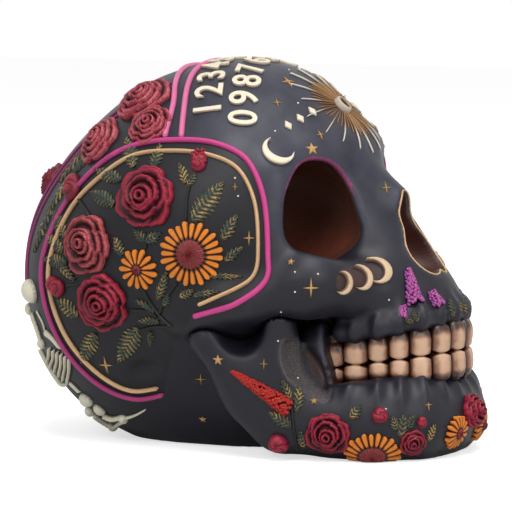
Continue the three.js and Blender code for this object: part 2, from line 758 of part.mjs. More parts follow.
function union(solids) {
  return solids.reduce((sum, solid) => sum.add(solid));
}

// A straight spindle in the flat model, from one flat point to another
function rod(from, to, width, height, outline, segments = 4) {
  const [dx, dy] = [to[0] - from[0], to[1] - from[1]];
  const geometry = spindle(Math.hypot(dx, dy), width, height, outline, segments);
  geometry.rotateZ(Math.atan2(-dx, dy));
  geometry.translate(from[0], from[1], 0);
  return geometry;
}

// Where another spot falls in the flat frame of a place
function flatPoint(place, heart, [azimuth, elevation]) {
  const away = new THREE.Vector3(...spot(heart, azimuth, elevation)).sub(new THREE.Vector3(...place.point));
  return [away.dot(place.side), away.dot(place.rise)];
}

// Cords swept along the surface

const cordShares = [[-1, 0], [-0.55, 1], [0.55, 1], [1, 0]];

function direction([azimuth, elevation]) {
  const [a, e] = [THREE.MathUtils.degToRad(azimuth), THREE.MathUtils.degToRad(elevation)];
  return new THREE.Vector3(-Math.sin(a) * Math.cos(e), -Math.cos(a) * Math.cos(e), Math.sin(e));
}

function cordGeometry(heart, angles, width, height, profile = cordShares) {
  const ways = new THREE.CatmullRomCurve3(angles.map(direction));
  const rough = ways.getPoints(angles.length * 6).map((way) => {
    const v = way.normalize();
    const azimuth = THREE.MathUtils.radToDeg(Math.atan2(-v.x, -v.y));
    return new THREE.Vector3(...spot(heart, azimuth, THREE.MathUtils.radToDeg(Math.asin(clamp(v.z, -1, 1)))));
  });
  const path = new THREE.CatmullRomCurve3(rough);
  const count = Math.max(3, Math.round(path.getLength() / cordStep));
  const points = [];
  const index = [];
  const across = profile.length;
  for (let i = 0; i <= count; i++) {
    const centre = path.getPointAt(i / count);
    const out = surfaceNormal([centre.x, centre.y, centre.z]);
    const side = new THREE.Vector3().crossVectors(path.getTangentAt(i / count), out).normalize();
    for (const [s, h] of profile) {
      const p = centre.clone().addScaledVector(side, s * width / 2);
      let seat = [p.x, p.y, p.z];
      for (let n = 0; n < 2; n++) seat = pull(whole, seat, width);
      points.push(...new THREE.Vector3(...seat).addScaledVector(out, undersideGap + h * height).toArray());
    }
    for (let j = 0; j < across && i < count; j++) {
      const [a, b] = [i * across + j, i * across + (j + 1) % across];
      index.push(a, b, b + across, a, b + across, a + across);
    }
  }
  for (let j = 1; j < across - 1; j++) {
    index.push(0, j + 1, j);
    index.push(count * across, count * across + j, count * across + j + 1);
  }
  const geometry = new THREE.BufferGeometry();
  geometry.setAttribute('position', new THREE.Float32BufferAttribute(points, 3));
  geometry.setIndex(index);
  return welded(geometry);
}

// Pieces are laid one after another, each cut clear of the ones that lie under it

const group = new THREE.Group();
group.name = 'decorative_skull';
const taken = [];

const finishes = {
  charcoal: { color: 0x34353d, roughness: 0.55 },
  jaw: { color: 0x3a3b44, roughness: 0.55 },
  tooth: { color: 0xb89a7c, roughness: 0.45 },
  magenta: { color: 0xb8447f, roughness: 0.5 },
  tan: { color: 0xc9a57c, roughness: 0.5 },
  pink: { color: 0xd9799f, roughness: 0.5 },
  crimson: { color: 0x9c2038, roughness: 0.5 },
  coral: { color: 0xb5424a, roughness: 0.5 },
  dustyRose: { color: 0xa8455a, roughness: 0.5 },
  orange: { color: 0xe08a2e, roughness: 0.5 },
  leaf: { color: 0x5d6b52, roughness: 0.55 },
  cream: { color: 0xd9c6a5, roughness: 0.5 },
  gold: { color: 0xc9a46a, roughness: 0.45 },
  bone: { color: 0xc9c4ae, roughness: 0.55 },
  scarlet: { color: 0xb8241e, roughness: 0.5 },
  purple: { color: 0x8a3aa0, roughness: 0.5 },
};

function addMesh(name, geometry, finish) {
  geometry.computeVertexNormals();
  const { color, roughness } = finishes[finish];
  const material = new THREE.MeshStandardMaterial({ color, roughness, metalness: 0 });
  const mesh = new THREE.Mesh(geometry, material);
  mesh.name = name;
  group.add(mesh);
}

function boxesMeet(a, b) {
  return [0, 1, 2].every((axis) => a.min[axis] <= b.max[axis] && b.min[axis] <= a.max[axis]);
}

// Cuts a piece clear of all that is there already and keeps its main body
function settle(geometry, clearance, keep = largest) {
  let solid = toSolid(geometry);
  for (const other of taken) {
    if (boxesMeet(solid.boundingBox(), other.boundingBox())) solid = solid.subtract(other);
  }
  return { solid: keep(solid), cutter: clearance(geometry) };
}

function addPiece(name, geometry, finish, clearance = keepClearBelow) {
  const { solid, cutter } = settle(geometry, clearance);
  taken.push(cutter);
  addMesh(name, toGeometry(solid), finish);
}

// A piece on the right side and its mirror image on the left side
function addPair(name, geometry, finish) {
  const { solid, cutter } = settle(geometry, keepClearBelow);
  const other = keepClearBelow(mirrored(welded(geometry)));
  taken.push(cutter, other);
  const right = toGeometry(solid);
  addMesh(`${name}_right`, right, finish);
  addMesh(`${name}_left`, mirrored(right), finish);
}

// Small leaves, a small rose and buds that are cast in one with the jaw
const jawLeafAngles = [
  [[95, -9], [104, -2]], [[93, -3], [95, 8]], [[97, 2], [100, 9]], [[68, -6], [63, 1]],
  [[44, -14], [43, -3]], [[40, -12], [37, -7]], [[23, -19], [23, -10]],
];
const jawBudAngles = [[101, -15], [54, -3], [33, -8]];
const jawBudShares = [1, 0.75, 0.55];

function jawRelief() {
  const solids = jawLeafAngles.map(([foot, tip]) => {
    const place = placeAt('jaw', ...foot);
    const leaf = rod([0, 0], flatPoint(place, 'jaw', tip), leafWidth, leafHeight, leafShares, 3);
    return toSolid(laid(rooted(sunk(leaf)), place));
  });
  jawBudAngles.forEach(([a, e], i) => {
    const bud = turned([[0, -1], [1, -1], [0.8, 0.8], [0, 1]], jawBudRadius * jawBudShares[i], jawBudHeight * jawBudShares[i], 7);
    solids.push(toSolid(put('jaw', a, e, rooted(bud))));
  });
  const petals = turned([[0, -1], [0.84, -1], [1, 0.4], [0.66, 0.5], [0.3, 0.9], [0, 0.8]], smallRoseRadius, smallRoseHeight, 10);
  solids.push(toSolid(put('jaw', 34, -19, rooted(lobed(petals, smallRoseRadius, 5, 0.14, 0.9)))));
  return union(solids);
}

// The underside goes down into the casting
function rooted(geometry) {
  const position = geometry.getAttribute('position');
  for (let i = 0; i < position.count; i++) {
    if (position.getZ(i) < undersideGap + hairSize) position.setZ(i, -rootDepth);
  }
  return geometry;
}

// The two castings, trimmed flat on the floor

function floorBlock() {
  const depth = skullHeight / 2;
  const block = new THREE.BoxGeometry(skullWidth * 2, skullLength * 2, depth);
  block.translate(0, 0, -depth / 2);
  return toSolid(block);
}

function castings() {
  const reach = Object.fromEntries(Object.entries(fieldReachShares).map(([key, v]) => [key, v * unit]));
  const top = reach.above / heightShare * skullHeight / unit;
  const [ear, brow] = [-gradeShares.ear * unit, gradeShares.brow / heightShare * skullHeight];
  const ys = [...cuts(-reach.ahead, ear, faceFacet).slice(0, -1), ...cuts(ear, -reach.back, braincaseFacet)];
  const zs = [...cuts(reach.below, brow, faceFacet).slice(0, -1), ...cuts(brow, top, crownFacet)];
  const xs = mirrorCuts(reach.across / widthShare * skullWidth / unit, faceFacet);
  const floor = floorBlock();
  const footed = (field) => (p) => Math.max(field(p), -faceFacet / 2 - p[2]);
  const raw = thinned(welded(fieldGeometry(footed(cranium), xs, ys, zs)));
  const skull = largest(toSolid(raw).subtract(floor));
  const keepOut = keepClear(raw);
  const jawXs = mirrorCuts(jawReachShares.across / widthShare * skullWidth, jawFacet);
  const jawYs = cuts(-reach.ahead, -jawReachShares.back * unit, jawFacet);
  const jawZs = cuts(reach.below, jawReachShares.above / heightShare * skullHeight, jawFacet);
  const rawJaw = thinned(welded(fieldGeometry(footed(jaw), jawXs, jawYs, jawZs)));
  const relief = jawRelief();
  const bothReliefs = relief.add(toSolid(mirrored(toGeometry(relief))));
  const lower = largest(toSolid(rawJaw).add(bothReliefs).subtract(floor).subtract(keepOut));
  taken.push(keepOut, keepClear(rawJaw), keepClear(toGeometry(bothReliefs)), floor);
  addMesh('skull_casting', toGeometry(skull), 'charcoal');
  addMesh('jaw_casting', toGeometry(lower), 'jaw');
}

// Teeth

function biteHeight(place) {
  return biteAt(-place / unit) / heightShare * skullHeight;
}

function crownGeometry(width, height, lift) {
  const points = toothShares.map(([r, h]) => new THREE.Vector2(r * width / 2, h * height / 2));
  const geometry = new THREE.LatheGeometry(points, 8, Math.PI / 8);
  geometry.rotateX(Math.PI / 2);
  const position = geometry.getAttribute('position');
  for (let i = 0; i < position.count; i++) {
    const [x, y] = [position.getX(i), position.getY(i)];
    const angle = Math.atan2(y, x);
    const square = (Math.abs(Math.cos(angle)) ** squareness + Math.abs(Math.sin(angle)) ** squareness) ** (-1 / squareness);
    position.setX(i, x * square);
    position.setY(i, y * square * toothDepth / width);
  }
  geometry.scale(1, 1, lift);
  return welded(geometry);
}

// Crowns side by side along the arch, from the middle backwards, as one row
function toothRow(arch, height, lift) {
  const widths = [incisorWidth, incisorWidth, canineWidth, premolarWidth, premolarWidth, molarWidth, molarWidth];
  const path = new THREE.CatmullRomCurve3(arch.map(([x, u]) => new THREE.Vector3(-x / widthShare * skullWidth, -u * unit, 0)));
  const solids = [];
  let way = 0;
  for (const width of widths) {
    const share = Math.min(1, (way + width / 2) / path.getLength());
    const [centre, ahead] = [path.getPointAt(share), path.getTangentAt(share)];
    const crown = crownGeometry(width * overlapShare, height, lift);
    crown.rotateZ(Math.atan2(-ahead.y, -ahead.x));
    crown.translate(centre.x, centre.y, biteHeight(centre.y) + lift * height / 2);
    solids.push(toSolid(crown), toSolid(mirrored(crown)));
    way += width;
  }
  return union(solids);
}

function teeth() {
  const upper = toothRow(upperArchShares, upperToothHeight, 1);
  addPieceSolid('upper_teeth', upper, 'tooth');
  const lower = toothRow(lowerArchShares, lowerToothHeight, -1);
  addPieceSolid('lower_teeth', lower, 'tooth');
}

function addPieceSolid(name, raw, finish) {
  addPiece(name, toGeometry(raw), finish, keepClear);
}

// Raised cords: places are pairs of azimuth and elevation in degrees, seen from a heart

const outerCordAngles = [
  [78, -19], [63, -13], [54, -6], [53, 3], [54, 20], [59, 32], [70, 38], [87, 40], [104, 38], [120, 30],
  [132, 18], [138, 5], [140, -8], [136, -25], [129, -40], [119, -50], [104, -53],
];
const innerCordAngles = [
  [76, -15], [63, -9], [57, -4], [56, 6], [57, 19], [62, 29], [72, 34], [88, 36], [104, 34], [117, 26],
  [128, 16], [134, 4], [136, -8], [132, -24], [125, -38], [117, -47], [105, -50],
];
const rearCrownAngles = [[94, 41], [98, 54], [110, 64], [132, 72], [180, 76], [-132, 72], [-110, 64], [-98, 54], [-94, 41]];
const frontCrownAngles = [[86, 41], [91, 54], [98, 64], [111, 74], [180, 84], [-111, 74], [-98, 64], [-91, 54], [-86, 41]];

function cords() {
  addPair('outer_cord', cordGeometry('head', outerCordAngles, outerCordWidth, cordHeight), 'magenta');
  addPair('inner_cord', cordGeometry('head', innerCordAngles, innerCordWidth, cordHeight), 'tan');
  addPiece('rear_crown_cord', cordGeometry('head', rearCrownAngles, crownCordWidth, cordHeight), 'pink');
  addPiece('front_crown_cord', cordGeometry('head', frontCrownAngles, crownCordWidth, cordHeight), 'pink');
}

// Leaf sprays: stems run out from one middle, a blade at the end of each
function spray(name, heart, middle, tips, reach = 1) {
  const place = placeAt(heart, ...middle);
  const solids = [];
  for (const tip of tips) {
    const end = flatPoint(place, heart, tip);
    const distance = Math.hypot(...end);
    const way = end.map((v) => v / distance);
    const root = Math.max(0, distance - leafLength * reach);
    const base = way.map((v) => v * root);
    const overlap = way.map((v) => v * Math.min(distance, root + leafLength * reach / 5));
    solids.push(toSolid(rod(base, end, leafWidth * reach, leafHeight, leafShares, 3)));
    if (root > stemWidth) solids.push(toSolid(rod([0, 0], overlap, stemWidth, stemHeight, stemShares, 3)));
  }
  const hub = turned([[0, -1], [1, -1], [0.7, 1], [0, 1]], stemWidth * 1.2, stemHeight, 6);
  solids.push(toSolid(hub));
  return { name, geometry: laid(sunk(toGeometry(union(solids))), place) };
}

// The underside of lying spindles is drawn up to just clear of the surface
function sunk(geometry) {
  const position = geometry.getAttribute('position');
  for (let i = 0; i < position.count; i++) position.setZ(i, Math.max(position.getZ(i), undersideGap));
  return geometry;
}

function sprays() {
  const list = [
    spray('upper_leaves', 'head', [96, 21], [[81, 9], [66, 25], [107, 33], [116, 25]]),
    spray('rear_leaves', 'head', [119, 3], [[132, 10], [133, -3], [106, 8]], 0.8),
    spray('low_leaves', 'head', [114, -16], [[128, -17], [124, -29], [109, -31]], 0.85),
    spray('front_leaves', 'head', [78, 2], [[62, 15], [62, 1], [80, -16], [92, -13]], 0.85),
  ];
  for (const { name, geometry } of list) addPair(name, geometry, 'leaf');
}

function put(heart, azimuth, elevation, model, spin = 0) {
  return laid(model, placeAt(heart, azimuth, elevation, spin));
}

function flowers() {
  const crownRose = () => rose(crownRoseRadius, crownRoseHeight);
  addPair('crown_rose_1', put('head', 121, 55, crownRose(), 10), 'dustyRose');
  addPair('crown_rose_2', put('head', 104, 45, rose(crownRoseRadius * 0.75, crownRoseHeight * 0.8), 50), 'dustyRose');
  addPair('crown_rose_3', put('head', 130, 37, rose(crownRoseRadius * 0.9, crownRoseHeight * 0.9), 80), 'coral');
  addPair('top_rose', put('head', 96, 20, rose(fieldRoseRadius, fieldRoseHeight), 20), 'crimson');
  addPair('rear_rose', put('head', 119, 3, rose(fieldRoseRadius, fieldRoseHeight), 50), 'coral');
  addPair('low_rose', put('head', 114, -16, rose(fieldRoseRadius * 0.95, fieldRoseHeight), 40), 'crimson');
  addPair('sunflower', put('head', 78, 2, daisy(sunflowerRadius, sunflowerHeight, 12)), 'orange');
  addPair('daisy', put('head', 98, -4, daisy(daisyRadius, daisyHeight, 11)), 'orange');
  addPair('jaw_rose', put('jaw', 79, -13, rose(jawRoseRadius, jawRoseHeight), 20), 'crimson');
  addPair('half_sunflower', put('jaw', 57, -23, daisy(halfFlowerRadius, sunflowerHeight, 10)), 'orange');
  addPair('zinnia', put('jaw', 14, -13, daisy(zinniaRadius, zinniaHeight, 9)), 'orange');
  addPiece('chin_rose', put('jaw', 0, -5, rose(chinRoseRadius, chinRoseHeight), 0), 'dustyRose');
}

// A lying spindle whose far end is at the given spot
function lying(heart, from, to, width, outline, segments = 6) {
  const place = placeAt(heart, ...from);
  const end = flatPoint(place, heart, to);
  return laid(sunk(rod([0, 0], end, width, width / 2, outline, segments)), place);
}

function buds() {
  addPair('rose_bud', lying('head', [133, 14], [134, 23], budRadius * 2, budShares), 'coral');
  addPair('thistle_bud', lying('head', [81, 28], [73, 33], budRadius * 2, budShares), 'crimson');
  addPair('spike_flower', lying('jaw', [97, -3], [115, 11], spikeRadius * 2, spikeShares), 'scarlet');
  addPair('cheek_lupin', lying('muzzle', [29, 0], [25, 21], lupinRadius * 2, spikeShares), 'purple');
}

function moons() {
  const moon = () => crescent(moonRadius, moonThickness);
  addPair('temple_moon', put('head', 47, 34, crescent(templeMoonRadius, moonThickness), 48), 'cream');
  addPair('cheek_moon_1', put('face', 67, 13, moon(), 165), 'cream');
  addPair('cheek_moon_2', put('face', 58, 16.5, moon(), 168), 'cream');
  addPair('cheek_moon_3', put('face', 48, 21, moon(), 172), 'cream');
}

// Rays of two lengths round a low boss on the forehead
function sunburst() {
  const solids = [toSolid(turned([[0, -1], [1, -1], [0.9, 0.6], [0, 1]], bossRadius, bossHeight, 10))];
  for (let i = 0; i < rayCount; i++) {
    const angle = 2 * Math.PI * i / rayCount;
    const length = rayLength * (i % 2 ? shortRayShare : 1);
    const end = [Math.sin(angle) * length, Math.cos(angle) * length];
    const start = end.map((v) => v / length * bossRadius / 2);
    solids.push(toSolid(rod(start, end, rayWidth, rayHeight, rayShares, 3)));
  }
  addPiece('sunburst', put('head', 0, 50, sunk(toGeometry(union(solids)))), 'gold');
}

// The small lying bone figure low on the back
function boneFigure() {
  const place = placeAt('head', 146, -34);
  const spot = (angles) => flatPoint(place, 'head', angles);
  const bone = (from, to, width = 2) => {
    return toSolid(rod(spot(from), spot(to), figureBoneRadius * width, figureBoneRadius, boneShares, 3));
  };
  const [skullEnd, hip] = [[149, -16], [144, -47]];
  const solids = [bone(skullEnd, hip)];
  for (const step of [0.35, 0.6]) {
    const [a, e] = [skullEnd[0] + (hip[0] - skullEnd[0]) * step, skullEnd[1] + (hip[1] - skullEnd[1]) * step];
    solids.push(bone([a - 7, e + 3], [a + 7, e - 3], 1.6));
  }
  solids.push(bone(hip, [143, -56], 2), bone(hip, [132, -56], 2));
  solids.push(bone([149, -22], [135, -30], 1.8));
  const head = turned([[0, -1], [1, -1], [0.9, 0.5], [0, 1]], figureBoneRadius * 2.6, figureBoneRadius * 2.2, 8);
  head.translate(...spot(skullEnd), 0);
  const hips = turned([[0, -1], [1, -1], [0.8, 0.6], [0, 1]], figureBoneRadius * 2.2, figureBoneRadius * 1.4, 7);
  hips.translate(...spot(hip), 0);
  solids.push(toSolid(head), toSolid(hips));
  addPair('bone_figure', laid(sunk(toGeometry(union(solids))), place), 'bone');
}

castings();
teeth();
cords();
sprays();
moons();
sunburst();
boneFigure();
buds();
flowers();

// Set the part in the middle of its frame, on the floor
const box = new THREE.Box3().setFromObject(group);
for (const mesh of group.children) {
  mesh.geometry.translate(-(box.min.x + box.max.x) / 2, -(box.min.y + box.max.y) / 2, -box.min.z);
}

export default group;
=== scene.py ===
"""Looks of a decorative skull: cast resin, hand painted, with raised flowers, leaves, cords, moons and stars.

Shapes are worked out in millimetres in the row frame and put into the meshes in metres.
"""

import math

import bmesh
import bpy
import numpy as np
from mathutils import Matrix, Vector


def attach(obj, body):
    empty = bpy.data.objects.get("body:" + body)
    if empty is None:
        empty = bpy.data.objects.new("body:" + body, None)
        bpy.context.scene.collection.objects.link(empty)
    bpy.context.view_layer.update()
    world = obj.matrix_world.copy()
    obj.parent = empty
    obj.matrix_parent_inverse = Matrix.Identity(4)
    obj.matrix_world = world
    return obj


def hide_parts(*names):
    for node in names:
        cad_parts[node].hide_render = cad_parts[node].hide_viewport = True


bl_info = {
    "name": "Decorative skull",
    "version": (1, 0, 0),
    "blender": (4, 5, 0),
    "location": "View3D > Sidebar > Skull",
    "description": "Builds the painted surfaces of a decorative skull round its packed solids",
    "category": "Object",
}

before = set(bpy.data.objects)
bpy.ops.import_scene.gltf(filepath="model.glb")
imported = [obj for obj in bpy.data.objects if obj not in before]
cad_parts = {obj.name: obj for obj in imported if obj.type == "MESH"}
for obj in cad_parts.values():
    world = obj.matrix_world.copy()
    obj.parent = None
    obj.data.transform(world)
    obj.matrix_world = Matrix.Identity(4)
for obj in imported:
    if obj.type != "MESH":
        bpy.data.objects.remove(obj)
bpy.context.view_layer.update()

# Bare skull, in millimetres, and the move that centres the part in its box
LENGTH, WIDTH, HEIGHT = 194.0, 138.0, 154.0
UNIT = LENGTH / 100
WIDTH_SHARE, HEIGHT_SHARE = 71.1, 79.4
SHIFT = 1.952
SOCKET_RADII = (39 / 2 / UNIT, 32 / UNIT, 44 / 2 / UNIT)
NOSE_HALF, NOSE_DEEP, NOSE_TALL = 13 / UNIT, 16 / UNIT, 17 / UNIT
CHIN_RADIUS, RIDGE_RADIUS = 18.5 / UNIT, 5 / UNIT

# Rows of teeth in shares, half of each from the middle: across and ahead
UPPER_ARCH_SHARES = (
    (0, 46.8), (2.3, 46.4), (6.4, 44.8), (9.8, 41.8), (12.2, 38.4), (13.6, 34.6), (14.6, 30.3),
    (14.9, 25.2), (15, 17),
)  # fmt: skip
LOWER_ARCH_SHARES = (
    (0, 46.9), (2.1, 46.6), (5.6, 45.4), (9, 42.8), (11.6, 39.2), (13.4, 35.4), (14.6, 31.3),
    (15, 26.2), (15, 17),
)  # fmt: skip
# The line where both rows meet, and the edges of the gums; a root is a share of its tooth's height
BITE_SHARES = {"start": 29.4, "height": 19.05, "slope": 0.156}
UPPER_GUM_SHARES = {"start": 26.8, "root": 0.6711, "slope": 0.2, "back": 23.7}
LOWER_GUM_SHARES = {"start": 30.9, "root": 0.55, "slope": 0.15, "back": 26.8, "rise": 4}
TOOTH_WIDTHS = (8.6, 8.6, 8.8, 8.0, 8.0, 9.8, 9.8)
UPPER_TALL, LOWER_TALL, TOOTH_DEEP = 13.0, 12.0, 7.5
HEART_SHARES = {"head": (0, -5.2, 41.2), "face": (0, 20.6, 30.9), "jaw": (0, 23.2, 11.3)}

# Forms of the skull in shares: a limb has two ends with a radius at each, a ball its middle and its radii
BROW_SHARES = (
    ((3.1, 21.1, 61.9), (12.4, 18, 61.3), 4.1, 3.6),
    ((12.4, 18, 61.3), (21.6, 13.9, 57.7), 3.6, 3.6),
    ((21.6, 13.9, 57.7), (24.2, 14.4, 41.2), 3.6, 4.6),
)
CHEEK_SHARES = (
    ((22.7, 22.7, 36.1), (11.3, 32, 34), 5.7, 5.7),
    ((23.2, 21.6, 35.1), (28.6, 12.4, 33.5), 4.6, 3.9),
    ((28.6, 12.4, 33.5), (29.4, -2.1, 29.9), 3.9, 3.6),
)
RIDGE_SHARES = ((0, 44.6, 29.4), (8.8, 41.8, 28.9), (13.4, 35.6, 27.3), (14.7, 27.8, 25.8))
BRAINCASE_SHARES = (
    ((0, -21.1, 34.5), (31.4, 29.4, 35.1), 5.2),
    ((0, 2.1, 52.6), (27.8, 23.7, 27.1), 7.4),
    ((19.6, 3.1, 44.3), (13.4, 17, 21.6), 7.4),
    ((0, -3.1, 17.5), (18.6, 26.8, 23.7), 8.2),
)
JAW_SHARES = (
    ((7.7, 38, 7.7), (12.9, 32, 7.9), 9.3, 8.8),
    ((12.9, 32, 7.9), (16.5, 23.7, 8.2), 8.8, 7.2),
    ((16.5, 23.7, 8.2), (19.6, 16.5, 7.2), 7.2, 5.9),
)
# Widths over which neighbouring forms run into each other
SOFT_SHARE, CRISP_SHARE = 4.4, 2.1

# The camera, in degrees and millimetres; picture places count in pixels of a 512 pixel square
VIEW_AZIMUTH, VIEW_ELEVATION, VIEW_REACH = -64.0, 5.5, 1600.0
VIEW_TARGET = np.array([0.0, SHIFT, 75.5])
FOCUS = 3906.2
PICTURE = 512
# Rays from the camera start this far in front of its target
RAY_START = 130.0


# The skull as a field


def smooth_join(a, b, soft):
    """Lower of two fields, rounded over the width soft where they meet."""
    reach = np.maximum(soft - np.abs(a - b), 0) / soft
    return np.minimum(a, b) - reach * reach * soft / 4


def smooth_carve(a, b, soft):
    """Field a with field b cut out of it, the edge rounded over the width soft."""
    return -smooth_join(-a, b, soft)


def ball(q, at, radii, yaw=0.0, pitch=0.0):
    """Near distance to an ellipsoid: k (k - 1) / g, with k the scaled radius and g its slope."""
    x, u, z = q[..., 0] - at[0], q[..., 1] - at[1], q[..., 2] - at[2]
    if yaw:
        s, c = math.sin(math.radians(yaw)), math.cos(math.radians(yaw))
        x, u = c * x - s * u, s * x + c * u
    if pitch:
        s, c = math.sin(math.radians(pitch)), math.cos(math.radians(pitch))
        u, z = c * u + s * z, c * z - s * u
    near = np.sqrt((x / radii[0]) ** 2 + (u / radii[1]) ** 2 + (z / radii[2]) ** 2)
    steep = np.sqrt((x / radii[0] ** 2) ** 2 + (u / radii[1] ** 2) ** 2 + (z / radii[2] ** 2) ** 2)
    return near * (near - 1) / np.maximum(steep, 1e-9)


def limb(q, a, b, ra, rb):
    """Distance to the line from a to b, less a radius that runs from ra to rb."""
    a, b = np.asarray(a, float), np.asarray(b, float)
    d = b - a
    p = q - a
    t = np.clip((p @ d) / (d @ d), 0, 1)
    away = p - t[..., None] * d
    return np.sqrt((away * away).sum(-1)) - ra - t * (rb - ra)


def shares(p):
    """Millimetres in the row frame to hundredths of the skull's length: across, ahead, up."""
    q = np.empty_like(p, dtype=float)
    q[..., 0] = np.abs(p[..., 0]) / WIDTH * WIDTH_SHARE
    q[..., 1] = (SHIFT - p[..., 1]) / UNIT
    q[..., 2] = p[..., 2] / HEIGHT * HEIGHT_SHARE
    return q


def with_limbs(d, q, limbs, soft=SOFT_SHARE):
    """Field d with limbs joined to it."""
    for a, b, ra, rb in limbs:
        d = smooth_join(d, limb(q, a, b, ra, rb), soft)
    return d


def face_field(q):
    """Bridge of the nose, brows, side rims, cheekbones, arches and the ridge that holds the teeth."""
    d = limb(q, (0, 13.4, 56.7), (0, 32, 28.4), 12.4, 14.2)
    d = smooth_join(d, limb(q, (0, 23.7, 57.2), (0, 32.5, 52.1), 3.1, 2.6), SOFT_SHARE)
    d = with_limbs(d, q, BROW_SHARES)
    d = smooth_join(d, ball(q, (21.6, 22.7, 37.1), (7.7, 7.7, 6.7), yaw=30), SOFT_SHARE)
    d = with_limbs(d, q, CHEEK_SHARES)
    ridge = [(a, b, RIDGE_RADIUS, RIDGE_RADIUS) for a, b in zip(RIDGE_SHARES[:-1], RIDGE_SHARES[1:])]
    return with_limbs(d, q, ridge, CRISP_SHARE)


def bite_at(ahead):
    """Height share of the line where both rows of teeth meet."""
    return BITE_SHARES["height"] + BITE_SHARES["slope"] * (ahead - BITE_SHARES["start"])


def upper_gum(ahead):
    """Height share of the edge of the upper gum."""
    line = UPPER_GUM_SHARES
    root = line["root"] * UPPER_TALL / HEIGHT * HEIGHT_SHARE
    return bite_at(line["start"]) + root + line["slope"] * (ahead - line["start"])


def lower_gum(ahead):
    """Height share of the edge of the lower gum, which climbs steeply behind the last tooth."""
    line = LOWER_GUM_SHARES
    root = line["root"] * LOWER_TALL / HEIGHT * HEIGHT_SHARE
    edge = bite_at(line["start"]) - root + line["slope"] * (ahead - line["start"])
    return edge + np.maximum(0, line["back"] - ahead) * line["rise"]


def socket_field(q):
    """The bowl of an eye socket, drawn down towards the cheek."""
    bowl = ball(q, (14.2, 16.5, 50), SOCKET_RADII, yaw=24)
    return smooth_join(bowl, ball(q, (18, 24, 47), (9, 11, 6.4), yaw=30), 2.0)


def nose_field(q):
    """The nose opening: a leaning upper hollow and a lower wing at each side."""
    top = ball(q, (0, 36.4, 46.4), (NOSE_HALF * 0.42, NOSE_DEEP, NOSE_TALL * 0.86), pitch=-25)
    wing = ball(q, (2.2, 39.2, 41.3), (NOSE_HALF * 0.53, NOSE_DEEP * 0.94, NOSE_TALL * 0.5))
    return smooth_join(top, wing, 3.0)


def bare_cranium(q):
    """The skull casting in shares, before its sockets, nose and mouth are cut."""
    d = ball(q, (0, -10.3, 44.8), (34.5, 29.4, 34))
    for at, radii, soft in BRAINCASE_SHARES:
        d = smooth_join(d, ball(q, at, radii), soft)
    d = smooth_join(d, face_field(q), 5.2)
    d = smooth_carve(d, ball(q, (40.2, 12.4, 39.2), (8.2, 7.7, 6.7)), SOFT_SHARE)
    return smooth_carve(d, ball(q, (27.5, -12.4, 16.2), (3.0, 3.8, 2.7)), 1.4)


def cranium(p):
    """Field of the skull casting in millimetres, below zero inside."""
    q = shares(p)
    d = smooth_carve(bare_cranium(q), socket_field(q), 1.6)
    d = smooth_carve(d, nose_field(q), 0.9)
    behind = q[..., 1] - UPPER_GUM_SHARES["back"]
    d = smooth_carve(d, smooth_carve(q[..., 2] - upper_gum(q[..., 1]), behind, CRISP_SHARE), 1.4)
    level = q.copy()
    level[..., 2] = 0
    filling = np.maximum(limb(level, (0, 20.6, 0), (0, 35.1, 0), 12.4, 9.3), q[..., 2] - 31)
    return np.minimum(d, filling) * UNIT


def leaf_hollow(q):
    """The pointed recess in the side of the jaw, behind the teeth: what two balls have in common."""
    radii = (10.6, 10.6, 10.6)
    return -smooth_join(-ball(q, (25.6, 17.6, 14.6), radii), -ball(q, (25.6, 29.2, 22.4), radii), 1.0)


def bare_jaw(q):
    """The jaw casting in shares, before its recess and gum are cut."""
    d = with_limbs(limb(q, (0, 40.2, 7.7), (7.7, 38, 7.7), CHIN_RADIUS, 9.3), q, JAW_SHARES)
    wing = limb(q, (27.8, 2.6, 24.7), (21.6, 15.5, 7.2), 4.1, 4.6)
    wing = smooth_join(wing, limb(q, (24.2, 16.5, 29.9), (21.1, 17.5, 8.2), 3.6, 4.6), SOFT_SHARE)
    wing = smooth_join(wing, ball(q, (23.7, 12.4, 16.5), (4.6, 8.2, 10.3), yaw=-20), SOFT_SHARE)
    d = smooth_join(d, wing, SOFT_SHARE)
    d = smooth_join(d, ball(q, (16, 23.7, 17.5), (4.6, 8.2, 10.3)), CRISP_SHARE)
    return smooth_carve(d, ball(q, (28.9, 10.3, 28.9), (7.2, 4.6, 6.7)), CRISP_SHARE)


def jaw(p):
    """Field of the jaw casting in millimetres, below zero inside."""
    q = shares(p)
    d = smooth_carve(bare_jaw(q), leaf_hollow(q), 0.8)
    return smooth_carve(d, lower_gum(q[..., 1]) - q[..., 2], 1.0) * UNIT


def whole(p):
    """Field of both castings together."""
    return np.minimum(cranium(p), jaw(p))


def slope(field, p, step=0.2):
    """Value of a field and its slope, by forward steps along the three axes."""
    value = field(p)
    lean = np.stack([(field(p + step * np.eye(3)[axis]) - value) / step for axis in range(3)], -1)
    return value, lean


def settled(p, field=whole, rounds=3, reach=9.0):
    """Points moved along the slope onto the zero level, and the outward normals there."""
    for _ in range(rounds):
        value, lean = slope(field, p)
        steep = np.maximum((lean * lean).sum(-1), 0.2)
        p = p + np.clip(-value / steep, -reach, reach)[..., None] * lean
    lean = slope(field, p)[1]
    return p, lean / np.maximum(np.linalg.norm(lean, axis=-1, keepdims=True), 1e-9)


